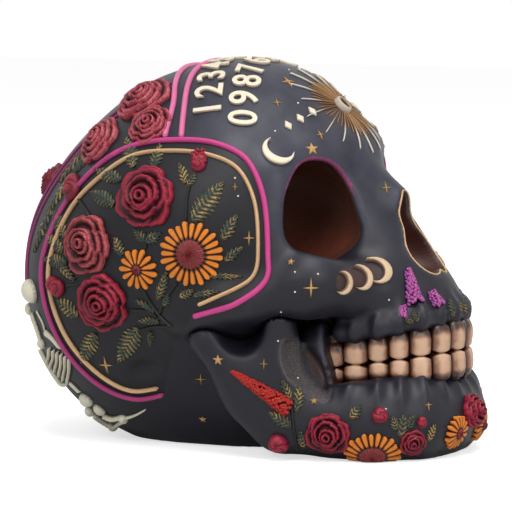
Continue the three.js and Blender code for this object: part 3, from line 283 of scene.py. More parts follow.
def level_surface(field, xs, ys, zs):
    """Zero level of a field on a grid: one corner in each cell that it crosses, at the mean of its edge
    crossings, drawn onto the level, and one face round each crossed edge. The grid is symmetric across."""
    half = len(xs) // 2
    grid = np.stack(np.meshgrid(xs[half:], ys, zs, indexing="ij"), -1)
    right = field(grid)
    values = np.concatenate([right[::-1], right])
    size = np.array(values.shape)
    axes = (xs, ys, zs)
    total = np.zeros((*(size - 1), 3))
    count = np.zeros(size - 1)
    crossings = []
    for axis in range(3):
        low = tuple(slice(0, -1) if k == axis else slice(None) for k in range(3))
        high = tuple(slice(1, None) if k == axis else slice(None) for k in range(3))
        a, b = values[low], values[high]
        crossed = (a < 0) != (b < 0)
        share = np.where(crossed, a / np.where(crossed, a - b, 1), 0)
        start = [v[:-1] if k == axis else v for k, v in enumerate(axes)]
        place = np.stack(np.meshgrid(*start, indexing="ij"), -1)
        shape = [-1 if k == axis else 1 for k in range(3)]
        place[..., axis] += share * np.diff(axes[axis]).reshape(shape)
        m, n = [k for k in range(3) if k != axis]
        for dm in (0, 1):
            for dn in (0, 1):
                part = [slice(None)] * 3
                part[m] = slice(dm, dm + size[m] - 1)
                part[n] = slice(dn, dn + size[n] - 1)
                part = tuple(part)
                total += np.where(crossed[part][..., None], place[part], 0)
                count += crossed[part]
        crossings.append((crossed, a < 0))
    used = count > 0
    number = np.full(used.shape, -1)
    number[used] = np.arange(used.sum())
    points = total[used] / count[used][:, None]
    faces = []
    for axis, (crossed, inside) in enumerate(crossings):
        b, c = (axis + 1) % 3, (axis + 2) % 3
        at = np.argwhere(crossed)
        at = at[(at[:, b] > 0) & (at[:, c] > 0) & (at[:, b] < size[b] - 1) & (at[:, c] < size[c] - 1)]
        db, dc = np.eye(3, dtype=int)[b], np.eye(3, dtype=int)[c]
        ring = [number[tuple(v.T)] for v in (at - db - dc, at - dc, at, at - db)]
        quads = np.stack(ring, -1)
        out = inside[tuple(at.T)]
        faces.append(np.where(out[:, None], quads, quads[:, ::-1]))
    points = settled(points, field, rounds=2, reach=0.8)[0]
    return points, np.concatenate(faces)


# Places


# A ray's steps, each this share of the field's value, and how far in millimetres it may end from the surface
MARCH_STEPS, STEP_SHARE, NEAR_MISS = 90, 0.8, 0.3


def march(origin, way, start, field=whole):
    """Where rays first meet the skull: each steps on by the field's value until that is nothing. A ray that
    passes by gives the surface nearest to its nearest point."""
    t = np.full(way.shape[:-1], float(start))
    best, least = t, np.full(t.shape, np.inf)
    for _ in range(MARCH_STEPS):
        value = field(origin + way * t[..., None])
        best, least = np.where(np.abs(value) < least, t, best), np.minimum(np.abs(value), least)
        t = t + STEP_SHARE * value
    met = origin + way * best[..., None]
    return np.where((least > NEAR_MISS)[..., None], settled(met, field, rounds=6)[0], met)


def camera_axes():
    """Unit vectors back, right and up of the camera."""
    a, e = math.radians(VIEW_AZIMUTH), math.radians(VIEW_ELEVATION)
    back = np.array([math.sin(a) * math.cos(e), -math.cos(a) * math.cos(e), math.sin(e)])
    right = np.cross(-back, (0, 0, 1))
    right /= np.linalg.norm(right)
    return back, right, np.cross(right, -back)


def seen(places):
    """Surface points behind picture places (pixels across and down)."""
    back, right, up = camera_axes()
    xy = np.asarray(places, float)
    x, y = (xy[..., 0] - PICTURE / 2) / FOCUS, (PICTURE / 2 - xy[..., 1]) / FOCUS
    way = x[..., None] * right + y[..., None] * up - back
    way /= np.linalg.norm(way, axis=-1, keepdims=True)
    return march(VIEW_TARGET + VIEW_REACH * back, way, VIEW_REACH - RAY_START)


def heart_at(name):
    """The place of a heart, from which directions count, in millimetres."""
    x, ahead, up = HEART_SHARES[name]
    return np.array([x, SHIFT - ahead * UNIT, up / HEIGHT_SHARE * HEIGHT])


def spots(heart, angles):
    """Outermost surface points seen from a heart: azimuth towards the right and elevation, in degrees."""
    a, e = np.radians(np.asarray(angles, float)).T
    way = np.stack([-np.sin(a) * np.cos(e), -np.cos(a) * np.cos(e), np.sin(e)], -1)
    return march(heart_at(heart) + way * LENGTH * 0.8, -way, 0)


def place_at(point, toward=None, spin=0.0):
    """A frame on the surface: point, side, rise and out. Rise is upwards or towards a second point, then
    spun by an angle in degrees."""
    out = settled(np.asarray(point, float)[None])[1][0]
    guide = np.array([0, 0, 1.0]) if toward is None else np.asarray(toward) - point
    rise = guide - (guide @ out) * out
    rise /= np.linalg.norm(rise)
    a = math.radians(spin)
    rise = rise * math.cos(a) + np.cross(out, rise) * math.sin(a)
    return np.asarray(point, float), np.cross(rise, out), rise, out


def lay(shape, place):
    """Bends a flat shape (side, rise, height) onto the surface round a place."""
    point, side, rise, _ = place
    flat = shape["points"]
    seat, out = settled(point + flat[:, :1] * side + flat[:, 1:2] * rise)
    return {**shape, "points": seat + flat[:, 2:] * out}


# Shapes


def closed_faces(rows, columns):
    """Faces of a grid closed round its columns, with a pole before the first row and after the last."""
    row = np.arange(rows - 1)[:, None] * columns + 1
    c = np.arange(columns)
    n = (c + 1) % columns
    a, b = row + c, row + n
    quads = np.stack([a, b, b + columns, a + columns], -1).reshape(-1, 4)
    end = 1 + (rows - 1) * columns
    top = np.stack([np.zeros_like(c), n + 1, c + 1], -1)
    bottom = np.stack([np.full_like(c, end + columns), end + c, end + n], -1)
    return quads, np.concatenate([top, bottom])


def enclosed(points, quads, tris):
    """Volume inside the faces, below zero where they look inwards."""
    all_tris = np.concatenate([quads[:, :3], quads[:, [0, 2, 3]], tris])
    a, b, c = (points[all_tris[:, k]] for k in range(3))
    return float((a * np.cross(b, c)).sum() / 6)


def closed_shape(first, grid, last, tones=None):
    """A shape from a pole, a grid of rows and columns of points, and a second pole, facing outwards.
    Each tone is one number for each grid point; the poles take the mean of the row beside them."""
    rows, columns = grid.shape[:2]
    points = np.concatenate([[first], grid.reshape(-1, 3), [last]])
    quads, tris = closed_faces(rows, columns)
    if enclosed(points - points.mean(0), quads, tris) < 0:
        quads, tris = quads[:, ::-1], tris[:, ::-1]
    made = {}
    for name, values in (tones or {}).items():
        values = np.broadcast_to(values, (rows, columns))
        made[name] = np.concatenate([[values[0].mean()], values.ravel(), [values[-1].mean()]])
    return {"points": points, "quads": quads, "tris": tris, "tones": made}


def joined(shapes):
    """Several shapes as one."""
    names = sorted({name for s in shapes for name in s["tones"]})
    starts = np.cumsum([0] + [len(s["points"]) for s in shapes])
    tones = {}
    for name in names:
        tones[name] = np.concatenate([s["tones"].get(name, np.zeros(len(s["points"]))) for s in shapes])
    return {
        "points": np.concatenate([s["points"] for s in shapes]),
        "quads": np.concatenate([s["quads"] + k for s, k in zip(shapes, starts)]),
        "tris": np.concatenate([s["tris"] + k for s, k in zip(shapes, starts)]),
        "tones": tones,
    }


def mirrored(shape, axis=0):
    """The shape's mirror image: the left side's for the right's, or upside down with axis 2."""
    points = shape["points"] * (1 - 2 * np.eye(3)[axis])
    return {**shape, "points": points, "quads": shape["quads"][:, ::-1], "tris": shape["tris"][:, ::-1]}


def smooth_step(value, low, high):
    """0 below low, 1 above high, 3 t^2 - 2 t^3 between."""
    t = np.clip((value - low) / (high - low), 0, 1)
    return t * t * (3 - 2 * t)


def relief(rim, height, rows, columns, tones, skirt=0.9):
    """Closed relief: the point at share s along angle a lies at s rim(a) from the middle and height(s, a) up.
    The edge drops to skirt below the surface, and a pole closes the underside."""
    a = np.arange(columns) / columns * 2 * np.pi
    s = np.arange(1, rows + 1)[:, None] / rows
    edge = rim(a)
    x, y = s * edge * np.cos(a), s * edge * np.sin(a)
    h = np.broadcast_to(height(s, a), x.shape)
    grid = np.stack([x, y, h], -1)
    under = np.stack([x[-1], y[-1], np.full(columns, -skirt)], -1)
    inner = np.stack([x[-1] * 0.6, y[-1] * 0.6, np.full(columns, -skirt)], -1)
    grid = np.concatenate([grid, under[None], inner[None]])
    made = {}
    for name, rule in tones.items():
        values = np.broadcast_to(rule(s, a), x.shape)
        made[name] = np.concatenate([values, values[-1:], values[-1:]])
    top = (0, 0, float(np.mean(height(np.zeros((1, 1)), a))))
    return closed_shape(top, grid, (0, 0, -skirt), made)


# Rings of a large rose as shares of its radius, its petals in each, and the rows and columns of its relief
LARGE_RINGS = ((0.17, 0.36, 0.57, 0.79, 1.0), (2, 3, 4, 5, 6), 56, 132)


def rose(radius, height, seed, rings, petals, rows, columns):
    """Petals laid round a heart like scales, the inner ones higher. Seen from the middle of its ring, a petal
    at angle c reaches r = R (1 - 0.2 |f|^2.4), where f = (a - c) / w runs from -1 to 1 over its width; its
    top climbs by 0.56 + 0.44 sin from the ring inside it to its own lip and tilts by f, and the highest petal
    shows."""
    rng = np.random.default_rng(seed)
    set_out = []
    for k, (ring, n) in enumerate(zip(rings, petals)):
        start = rng.random() * 2 * np.pi
        aside = 0.07 * ring * rng.normal(size=2) if k < len(rings) - 1 else np.zeros(2)
        for j in range(n):
            turn = start + 2 * np.pi * (j + 0.2 * rng.random()) / n
            set_out.append((k, ring, turn, np.pi / n * 1.28, aside, 0.94 + 0.1 * rng.random()))

    def reach(ring, centre, wide, big, a):
        f = ((a - centre + np.pi) % (2 * np.pi) - np.pi) / wide
        wave = 1 + 0.02 * np.sin(9 * a + centre) + 0.015 * np.sin(17 * a + 3 * centre)
        return np.where(np.abs(f) < 1, ring * big * wave * (1 - 0.2 * np.abs(f) ** 2.4), 0), f

    def rim(a):
        outer = [petal for petal in set_out if petal[0] == len(rings) - 1]
        reached = [reach(ring, centre, wide, big, a)[0] for _, ring, centre, wide, _, big in outer]
        return radius * np.max(reached, axis=0)

    def climb(s, a):
        out = s * rim(a) / radius
        x, y = out * np.cos(a), out * np.sin(a)
        best = np.full(out.shape, -1.0)
        lip = np.zeros_like(best)
        for k, ring, centre, wide, aside, big in set_out:
            r = np.hypot(x - aside[0], y - aside[1])
            angle = np.arctan2(y - aside[1], x - aside[0])
            edge, f = reach(ring, centre, wide, big, angle)
            inner = rings[k - 1] * 0.9 if k else 0.0
            q = np.clip((r - inner) / np.maximum(edge - inner, 1e-3), 0, 1)
            top = 1 - 0.62 * ring**1.5
            level = top * (0.56 + 0.44 * np.sin(np.pi / 2 * np.minimum(q / 0.82, 1))) + 0.1 * f * ring**0.5
            level = level - 0.16 * np.maximum(0, (q - 0.86) / 0.14) ** 2
            here = (r <= edge + 1e-6) & (level > best)
            best = np.where(here, level, best)
            # lip: high towards a petal's own rim, where the painted highlight goes, low just outside the
            # petal inside it, where the painted shade goes
            lip = np.where(here, smooth_step(q, 0.3, 0.96) * (0.75 + 0.25 * np.cos(f * 2)), lip)
        return np.maximum(best, 0.12), lip

    return relief(
        rim,
        lambda s, a: height * climb(s, a)[0],
        rows,
        columns,
        {"lip": lambda s, a: climb(s, a)[1]},
        skirt=1.2,
    )


def bud(length_mm, wide, height):
    """A closed bud: an egg from foot to tip with wrapped petals, three folds of |sin| wound round it."""

    def rim(a):
        along = np.sin(a)
        return np.hypot(wide / 2 * np.cos(a) * (1 - 0.22 * along), length_mm / 2 * along)

    def wrap(s, a):
        return np.abs(np.sin(1.5 * (a + 2.4 * s + 0.6 * np.sin(2 * a)))) ** 0.6

    shape = relief(
        rim,
        lambda s, a: height * (np.sqrt(np.clip(1.03 - s**2, 0, 1)) * 0.85 + 0.15 * wrap(s, a)),
        20,
        64,
        {"lip": lambda s, a: wrap(s, a) * (0.55 + 0.45 * np.sqrt(np.clip(1 - s**2, 0, 1)))},
    )
    shape["points"] = shape["points"] + (0, length_mm / 2, 0)
    return shape


def bloom(radius, height, petals, disc, gap):
    """Ray flower: each petal is a pointed tongue, its rim at gap + (1 - gap) sin(pi w / 2)^0.62 of the
    radius, with w = 1 - |2p - 1| and p the share of its angle; the height is a trough between petals, a swell
    along each and a groove down its middle. The disc is a low dome of seeds on a spiral."""

    def width(a):
        return 1 - np.abs(2 * ((a / (2 * np.pi) * petals) % 1) - 1)

    def rim(a):
        long = 1 - 0.07 * (np.floor(a / (2 * np.pi) * petals) % 2)
        return radius * (gap + (long - gap) * np.sin(np.pi / 2 * width(a)) ** 0.62)

    def out(s, a):
        return s * rim(a) / radius

    def height_at(s, a):
        r = out(s, a)
        tongue = (0.2 + 0.55 * width(a) ** 0.5) * (1 - 0.25 * r) + 0.12 * np.sin(np.pi * np.clip(r, 0, 1))
        tongue = tongue - 0.13 * np.exp(-(((1 - width(a)) / 0.28) ** 2))
        seeds = 0.07 * np.sin(a * 21 + r * 60) * np.sin(a * 13 - r * 50)
        dome = 0.62 + 0.38 * np.sqrt(np.clip(1 - (r / disc) ** 2, 0, 1)) + seeds
        return height * np.where(r < disc, dome, tongue)

    tones = {
        "ray": lambda s, a: width(a) * (out(s, a) > disc) * smooth_step(out(s, a), disc, disc + 0.2),
        "disc": lambda s, a: 1.0 * (out(s, a) < disc * 1.04),
    }
    return relief(rim, height_at, 34, petals * 12, tones)


def strip(path, half, height, rows, columns, section, tones):
    """A closed bar in the flat frame: row t runs along path(t); round it, angle b gives the side
    cos(b) half(t) and the height section(t, b)."""
    t = (np.arange(rows) + 0.5)[:, None] / rows
    b = np.arange(columns) / columns * 2 * np.pi
    centre = path(t[:, 0])
    ahead = np.gradient(centre, axis=0)
    ahead /= np.maximum(np.linalg.norm(ahead, axis=1, keepdims=True), 1e-9)
    side = np.stack([ahead[:, 1], -ahead[:, 0]], -1)
    reach = np.cos(b) * half(t)
    xy = centre[:, None] + side[:, None] * reach[..., None]
    grid = np.concatenate([xy, np.broadcast_to(height * section(t, b), reach.shape)[..., None]], -1)
    ends = path(np.array([0.0, 1.0]))
    made = {name: np.broadcast_to(rule(t, b), reach.shape) for name, rule in tones.items()}
    low = float(grid[..., 2].min()) * 0.3
    return closed_shape((*ends[0], low), grid, (*ends[1], low), made)


def leaf(length, width, height, teeth):
    """Lobed leaf: half width sin(pi t^0.8), each lobe widening towards the tip, with a sunk midrib and side
    veins."""

    def half(t):
        saw = (t * teeth) % 1
        return width / 2 * np.sin(np.pi * np.clip(t, 0, 1) ** 0.8) ** 0.8 * (1 - 0.42 * (1 - saw) ** 1.3)

    def vein(t, b):
        return np.abs(np.sin(np.pi * (t * teeth - 1.1 * np.abs(np.cos(b)))))

    def section(t, b):
        across = np.abs(np.cos(b))
        top = (1 - 0.45 * across**2) * (0.55 + 0.45 * vein(t, b)) - 0.3 * np.exp(-((across / 0.14) ** 2))
        return np.where(np.sin(b) > 0, top * np.sin(b) ** 0.5, -0.5 * np.abs(np.sin(b)))

    def path(t):
        return np.stack([0 * t, length * t], -1)

    return strip(path, half, height, 64, 28, section, {"vein": vein})


def crescent(radius, thickness):
    """Moon between two arcs: the outer circle, and one of 0.84 of its radius moved aside by 0.36 of it."""
    inner, shift = radius * 0.84, radius * 0.36
    meet = math.acos((radius**2 + shift**2 - inner**2) / (2 * radius * shift))
    meet_in = math.atan2(radius * math.sin(meet), radius * math.cos(meet) - shift)
    rows, columns = 40, 20
    t = (np.arange(rows) + 0.5)[:, None] / rows
    b = np.arange(columns) / columns * 2 * np.pi
    a_out = meet + (2 * np.pi - 2 * meet) * t
    a_in = meet_in + (2 * np.pi - 2 * meet_in) * t
    outer = np.concatenate([radius * np.cos(a_out), radius * np.sin(a_out)], -1)
    inside = np.concatenate([shift + inner * np.cos(a_in), inner * np.sin(a_in)], -1)
    mix = 0.5 + 0.5 * np.sign(np.cos(b)) * np.abs(np.cos(b)) ** 0.7
    xy = inside[:, None] + (outer - inside)[:, None] * mix[None, :, None]
    h = np.where(np.sin(b) > 0, thickness * np.abs(np.sin(b)) ** 0.35, -0.8 * np.abs(np.sin(b)) ** 0.35)
    grid = np.concatenate([xy - (shift / 2, 0), np.broadcast_to(h, (rows, columns))[..., None]], -1)
    horn = np.array([radius * math.cos(meet) - shift / 2, radius * math.sin(meet)])
    tones = {"lip": np.clip(np.sin(b), 0, 1)}
    return closed_shape((*horn, 0.2), grid, (horn[0], -horn[1], 0.2), tones)


def star(radius, points, height):
    """Star whose rim lies at 1 / (1 + w (1 / waist - 1)) of the radius, w = 1 in the waists, rising to its
    middle. With four points, those at the sides are shorter."""
    waist, aside = (0.16, 0.8) if points == 4 else (0.42, 1.0)

    def rim(a):
        w = 1 - np.abs(2 * ((points * (a - np.pi / 2) / (2 * np.pi)) % 1) - 1)
        arm = np.where(np.abs(np.sin(a)) > np.abs(np.cos(a)), 1.0, aside)
        return radius * arm / (1 + w * (1 / waist - 1))

    return relief(
        rim,
        lambda s, a: height * (0.25 + 0.75 * (1 - s) ** 0.8) + 0 * a,
        6,
        points * 24,
        {"lip": lambda s, a: 1 - s + 0 * a},
        skirt=0.5,
    )


def beads(centres, radii):
    """Small flattened balls at flat places, each a few dozen faces."""
    rows, columns, squash = 5, 9, 0.85
    e = (np.arange(rows) + 1)[:, None] / (rows + 1) * np.pi
    a = np.arange(columns) / columns * 2 * np.pi
    unit = np.stack([np.sin(e) * np.cos(a), np.sin(e) * np.sin(a), np.cos(e) + 0 * a], -1)
    one = closed_shape((0, 0, 1), unit, (0, 0, -1))
    centres, radii = np.asarray(centres, float), np.asarray(radii, float)
    count, size = len(centres), len(one["points"])
    points = centres[:, None] + one["points"] * (1, 1, squash) * radii[:, None, None]
    step = (np.arange(count) * size)[:, None, None]
    top = np.broadcast_to(np.clip(one["points"][:, 2], 0, 1), (count, size))
    return {
        "points": points.reshape(-1, 3),
        "quads": (one["quads"] + step).reshape(-1, 4),
        "tris": (one["tris"] + step).reshape(-1, 3),
        "tones": {"lip": top.ravel().copy()},
    }


def route(points, count):
    """Catmull-Rom curve through points, at count even steps of its length."""
    p = np.asarray(points, float)
    p = np.concatenate([[2 * p[0] - p[1]], p, [2 * p[-1] - p[-2]]])
    t = np.linspace(0, 1, 13)[:-1, None, None]
    a, b, c, d = (p[k : len(p) - 3 + k] for k in range(4))
    fine = 0.5 * (2 * b + (c - a) * t + (2 * a - 5 * b + 4 * c - d) * t**2 + (3 * b - 3 * c + d - a) * t**3)
    fine = np.concatenate([fine.transpose(1, 0, 2).reshape(-1, p.shape[1]), p[-2:-1]])
    length = np.concatenate([[0], np.cumsum(np.linalg.norm(np.diff(fine, axis=0), axis=1))])
    even = np.linspace(0, length[-1], count)
    return np.stack([np.interp(even, length, fine[:, k]) for k in range(fine.shape[1])], -1)


def surface_cord(points, width, height, spacing=0.9, taper=0.0, columns=14, sink=0.6):
    """Half-round cord along surface points: angle b round it gives cos(b) half the width to the side and
    sin(b) of the height above the surface, or sink below it."""
    rough = route(points, 400)
    count = max(6, int(np.linalg.norm(np.diff(rough, axis=0), axis=1).sum() / spacing))
    centre, out = settled(route(points, count))
    ahead = np.gradient(centre, axis=0)
    side = np.cross(ahead, out)
    side /= np.linalg.norm(side, axis=1, keepdims=True)
    t = np.linspace(0, 1, count)[:, None]
    end = np.clip(np.minimum(t, 1 - t) * count * spacing / (width / 2), 0, 1)
    size = np.sqrt(np.maximum(1 - (1 - end) ** 2, 0.02)) * (1 - taper * t)
    b = np.arange(columns) / columns * 2 * np.pi
    seat, normal = settled(centre[:, None] + side[:, None] * (np.cos(b) * size * width / 2)[..., None])
    rise = np.where(np.sin(b) > 0, height * np.sin(b) * size, sink * np.sin(b))
    grid = seat + normal * rise[..., None]
    tones = {"lip": np.clip(np.sin(b), 0, 1) + 0 * t, "along": t + 0 * b}
    return closed_shape(grid[0].mean(0), grid, grid[-1].mean(0), tones)


def make_mesh(name, shape):
    """A mesh object in metres, smooth shaded, with one point attribute for each tone."""
    quads, tris = shape["quads"], shape["tris"]
    mesh = bpy.data.meshes.new(name)
    mesh.vertices.add(len(shape["points"]))
    mesh.vertices.foreach_set("co", (shape["points"] / 1000).astype(np.float32).ravel())
    loops = np.concatenate([quads.ravel(), tris.ravel()]).astype(np.int32)
    totals = np.concatenate([np.full(len(quads), 4), np.full(len(tris), 3)]).astype(np.int32)
    mesh.loops.add(len(loops))
    mesh.loops.foreach_set("vertex_index", loops)
    mesh.polygons.add(len(totals))
    mesh.polygons.foreach_set("loop_start", np.concatenate([[0], np.cumsum(totals)[:-1]]).astype(np.int32))
    mesh.polygons.foreach_set("loop_total", totals)
    mesh.polygons.foreach_set("use_smooth", np.ones(len(totals), bool))
    mesh.update(calc_edges=True)
    mesh.validate()
    for tone, values in shape["tones"].items():
        made = mesh.attributes.new(tone, "FLOAT", "POINT")
        made.data.foreach_set("value", values.astype(np.float32))
    piece = bpy.data.objects.new(name, mesh)
    bpy.context.scene.collection.objects.link(piece)
    return piece


def add_piece(name, shape, material, nodes):
    """Puts a shape into the scene on the one body, standing for the CAD nodes given, if any."""
    piece = make_mesh(name, shape)
    piece.data.materials.append(material)
    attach(piece, "root")
    if nodes:
        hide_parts(*nodes)


def add_pair(name, shape, material, replaced=True):
    """The shape on the right side and its mirror image on the left."""
    for side, form in (("right", shape), ("left", mirrored(shape))):
        node = f"{name}_{side}"
        add_piece(f"{name}_{side}_painted", form, material, (node,) if replaced else ())


# Materials


def linear(code):
    """sRGB hex code to linear red, green and blue."""
    v = np.array([int(code[k : k + 2], 16) for k in (0, 2, 4)]) / 255
    return tuple(float(c) for c in np.where(v <= 0.04045, v / 12.92, ((v + 0.055) / 1.055) ** 2.4))


def add(tree, kind, links=None, **settings):
    """Adds a node with its settings, and sets or links its inputs."""
    made = tree.nodes.new(kind)
    for key, value in settings.items():
        setattr(made, key, value)
    for key, value in (links or {}).items():
        if isinstance(value, bpy.types.NodeSocket):
            tree.links.new(value, made.inputs[key])
        else:
            made.inputs[key].default_value = value
    return made


def colour(name):
    """A colour from the panel, with an alpha of one."""
    return (*getattr(bpy.context.scene.skull_colours, name), 1.0)


def paint(
    name, base, layers=(), roughness=0.5, grain=0.5, depth=0.04, mottle=0.14, spread=6.0, shine=0.25, wet=None
):
    """Acrylic paint on cast resin: a base coat, then brushed layers. A layer is a tone, a colour, the tone's
    low and high ends, its strength, and the size in millimetres of the brush marks that scale the tone up and
    down. Mottle is how much the base coat varies over clouds of the size spread; grain and depth are the size
    of its fine bumps in millimetres; wet names a tone where the coat is varnished."""
    material = bpy.data.materials.new(name)
    material.use_nodes = True
    tree = material.node_tree
    tree.nodes.clear()
    where = add(tree, "ShaderNodeTexCoord").outputs["Object"]

    def noise(size, detail, **more):
        inputs = {"Vector": where, "Scale": 1000 / size, "Detail": detail, **more}
        return add(tree, "ShaderNodeTexNoise", inputs).outputs["Fac"]

    def reading(tone):
        return add(tree, "ShaderNodeAttribute", attribute_name=tone).outputs["Fac"]

    def ranged(value, ends, **settings):
        return add(tree, "ShaderNodeMapRange", {"Value": value, **ends}, **settings).outputs[0]

    def mixed(amount, below, above):
        return add(tree, "ShaderNodeMix", {0: amount, 6: below, 7: above}, data_type="RGBA").outputs[2]

    cloud = noise(spread, 4.0)
    dark = tuple(c * (1 - mottle) for c in base[:3]) + (1.0,)
    light = tuple(min(1, c * (1 + mottle)) for c in base[:3]) + (1.0,)
    tint = mixed(cloud, dark, light)
    for tone, shade, low, high, strength, marks in layers:
        read = reading(tone)
        if marks:
            change = ranged(noise(marks, 5.0, Roughness=0.6), {1: 0.3, 2: 0.7, 3: 0.62, 4: 1.38})
            read = add(tree, "ShaderNodeMath", {0: read, 1: change}, operation="MULTIPLY").outputs[0]
        ends = {1: low, 2: high, 3: 0.0, 4: strength}
        tint = mixed(ranged(read, ends, interpolation_type="SMOOTHSTEP"), tint, shade)
    fine = {"Height": noise(grain, 3.0), "Strength": 0.35, "Distance": depth / 1000}
    bump = add(tree, "ShaderNodeBump", fine).outputs["Normal"]
    worn = ranged(cloud, {3: roughness - 0.07, 4: roughness + 0.09})
    gloss = shine
    if wet:
        worn = add(tree, "ShaderNodeMix", {0: reading(wet), 2: worn, 3: 0.24}, data_type="FLOAT").outputs[0]
        gloss = ranged(reading(wet), {3: shine, 4: 0.5})
    inputs = {"Base Color": tint, "Roughness": worn, "Specular IOR Level": gloss, "Normal": bump}
    shader = add(tree, "ShaderNodeBsdfPrincipled", inputs)
    add(tree, "ShaderNodeOutputMaterial", {"Surface": shader.outputs["BSDF"]})
    return material


def casting_paint():
    """Charcoal acrylic over cast polyresin: satin, dry-brushed grey on the raised places with a painted
    highlight over the upper front of the crown, painted shade near black in the grooves and over the field
    inside each outer cord, varnished brown inside the openings, painted shade dark brown on the casting
    behind the teeth, with plum brushed on the upper rim of each socket."""
    return paint(
        "charcoal_acrylic_on_resin",
        colour("charcoal"),
        (
            # high: dry brushing on the raised places, plus a painted highlight over the upper front of the
            # crown
            ("high", colour("brushed"), 0.15, 1.1, 0.85, 9.0),
            # low: painted shade, near black in the grooves and over the field inside each outer cord
            ("low", colour("recess"), 0.1, 0.8, 0.92, 0),
            ("wash", colour("umber"), 0.2, 0.9, 0.85, 1.6),
            ("glow", colour("copper"), 0.15, 1.0, 0.55, 0.7),
            ("plum", colour("plum"), 0.25, 0.9, 0.85, 0.7),
            ("socket", colour("socket"), 0.3, 0.7, 1.0, 0),
            ("deep", colour("socket_floor"), 0.05, 1.0, 0.9, 3.0),
            ("nose", colour("nose"), 0.3, 0.7, 1.0, 0),
            # mouth: painted shade, dark brown on the casting behind and between the teeth
            ("mouth", colour("tooth_low"), 0.2, 0.8, 0.95, 0),
            ("hollow_rim", colour("dust"), 0.25, 1.1, 0.6, 0.7),
            ("hollow", colour("umber"), 0.25, 0.9, 0.9, 1.0),
        ),
        roughness=0.43,
        grain=0.7,
        depth=0.05,
        mottle=0.14,
        spread=11.0,
        shine=0.32,
        wet="socket",
    )


# Settings


def tint(label, code, note):
    """A colour property with a hex default."""
    return bpy.props.FloatVectorProperty(
        name=label, description=note, subtype="COLOR", size=3, min=0, max=1, default=linear(code)
    )


def length(label, value, note):
    """A length property in millimetres."""
    return bpy.props.FloatProperty(name=label, description=note, default=value, min=0.1)


class SkullColours(bpy.types.PropertyGroup):
    """Colours of the paints."""

    charcoal: tint("Charcoal", "15151e", "Base coat of both castings")
    # Brushed grey is dry brushing on the raised places, and also a painted highlight over the crown
    brushed: tint("Brushed grey", "343542", "Dry brushing on the high places")
    # Recess is painted shade: in the grooves and cord fields of the castings, and at the feet of the cords,
    # straps and back lines; it also gives the sunburst's boss its dark middle
    recess: tint("Recess", "08080f", "Dark wash in the low places")
    # Umber is also the painted shade on the edges of the moons, numerals and diamonds
    umber: tint("Umber", "3d2a28", "Brown wash behind the cheek moons and in the jaw's recess")
    # Copper is also painted shade on the edges of the stars
    copper: tint("Copper", "4a3424", "Glow round the sunburst")
    socket: tint("Socket", "46281f", "Inside of the eye sockets")
    socket_floor: tint("Socket floor", "5a2e22", "Lower part of the eye sockets")
    nose: tint("Nose", "40201a", "Inside of the nose opening")
    plum: tint("Plum", "80365e", "Upper socket rims, and the cords towards the back")
    dust: tint("Dust", "77706e", "Brushed round the jaw's side recess")
    magenta: tint("Magenta", "b43c7a", "Outer cords")
    tan: tint("Tan", "c09c74", "Inner cords and fine edges")
    pink: tint("Pink", "c4648e", "Straps over the crown")
    crimson: tint("Crimson", "76142a", "Roses")
    # Dark crimson is painted shade in the grooves of petals and between beads; light crimson, light coral and
    # light rose are painted highlights on the petals' lips, and light crimson also dots the seed discs
    crimson_low: tint("Dark crimson", "1e050b", "Grooves of the roses")
    crimson_high: tint("Light crimson", "a42c3c", "Lips of the roses' petals")
    coral: tint("Coral", "7c2c33", "Coral roses")
    coral_high: tint("Light coral", "b4585a", "Lips of the coral petals")
    rose: tint("Dusty rose", "8a2c3a", "Crown roses")
    rose_high: tint("Light rose", "b8646a", "Lips of the crown roses")
    orange: tint("Orange", "c87424", "Ray petals")
    # Burnt orange is painted shade on the sides of the ray petals
    orange_low: tint("Burnt orange", "6e3210", "Sides of the ray petals")
    seeds: tint("Seeds", "6e2c2a", "Discs of the ray flowers")
    leaf: tint("Leaf", "2f3932", "Leaves")
    # Dark leaf is painted shade: in the grooves of the leaves, in the gaps between the petals of the ray
    # flowers and on the flanks of the sunburst's rays
    leaf_low: tint("Dark leaf", "151b18", "Grooves of the leaves, between petals and rays")
    leaf_high: tint("Leaf highlight", "b08c4c", "Tan brushed on the veins")
    cream: tint("Cream", "d4c8b2", "Temple moons, numerals and dots")
    gold: tint("Gold", "b48c58", "Stars")
    silver: tint("Silver", "c0bab0", "Ends of the long rays")
    bone: tint("Bone", "cfcab6", "Bone figures")
    # Bone shade is a dark wash in the joints, and also painted shade on the flanks and rims
    bone_low: tint("Bone shade", "2c2822", "Wash on the bone figures")
    scarlet: tint("Scarlet", "981d18", "Spike flowers")
    purple: tint("Purple", "80397c", "Lupins")
    tooth: tint("Tooth", "bf9b80", "Teeth")
    # Tooth wash is brown run down the teeth, and also painted shade on their necks and sides
    tooth_wash: tint("Tooth wash", "70452c", "Brown that has run down the teeth")
    # Tooth shade is painted shade: at the necks and in the gaps of the teeth, and on the casting behind them
    tooth_low: tint("Tooth shade", "2c140c", "Necks and gaps of the teeth, and the mouth behind them")
    moon: tint("Moons", "bda384", "Moons on the cheeks")
    bronze: tint("Bronze", "8e6c48", "Short rays of the sunburst")
    burgundy: tint("Burgundy", "641626", "Dark buds and the roses of the back")


class SkullSizes(bpy.types.PropertyGroup):
    """Sizes of the raised work, in millimetres."""

    cord_width: length("Cord width", 2.3, "Width of the cords round each side field, in millimetres")
    cord_height: length("Cord height", 1.6, "Height of the cords, in millimetres")
    strap_width: length("Strap width", 2.4, "Width of the straps over the crown, in millimetres")
    stem_width: length("Stem width", 1.3, "Width of the stems, in millimetres")
    numeral_height: length("Numeral height", 11.5, "Height of the raised numerals, in millimetres")
    grid: length("Grid", 1.3, "Cell size of the castings' surfaces, in millimetres")


# Operators


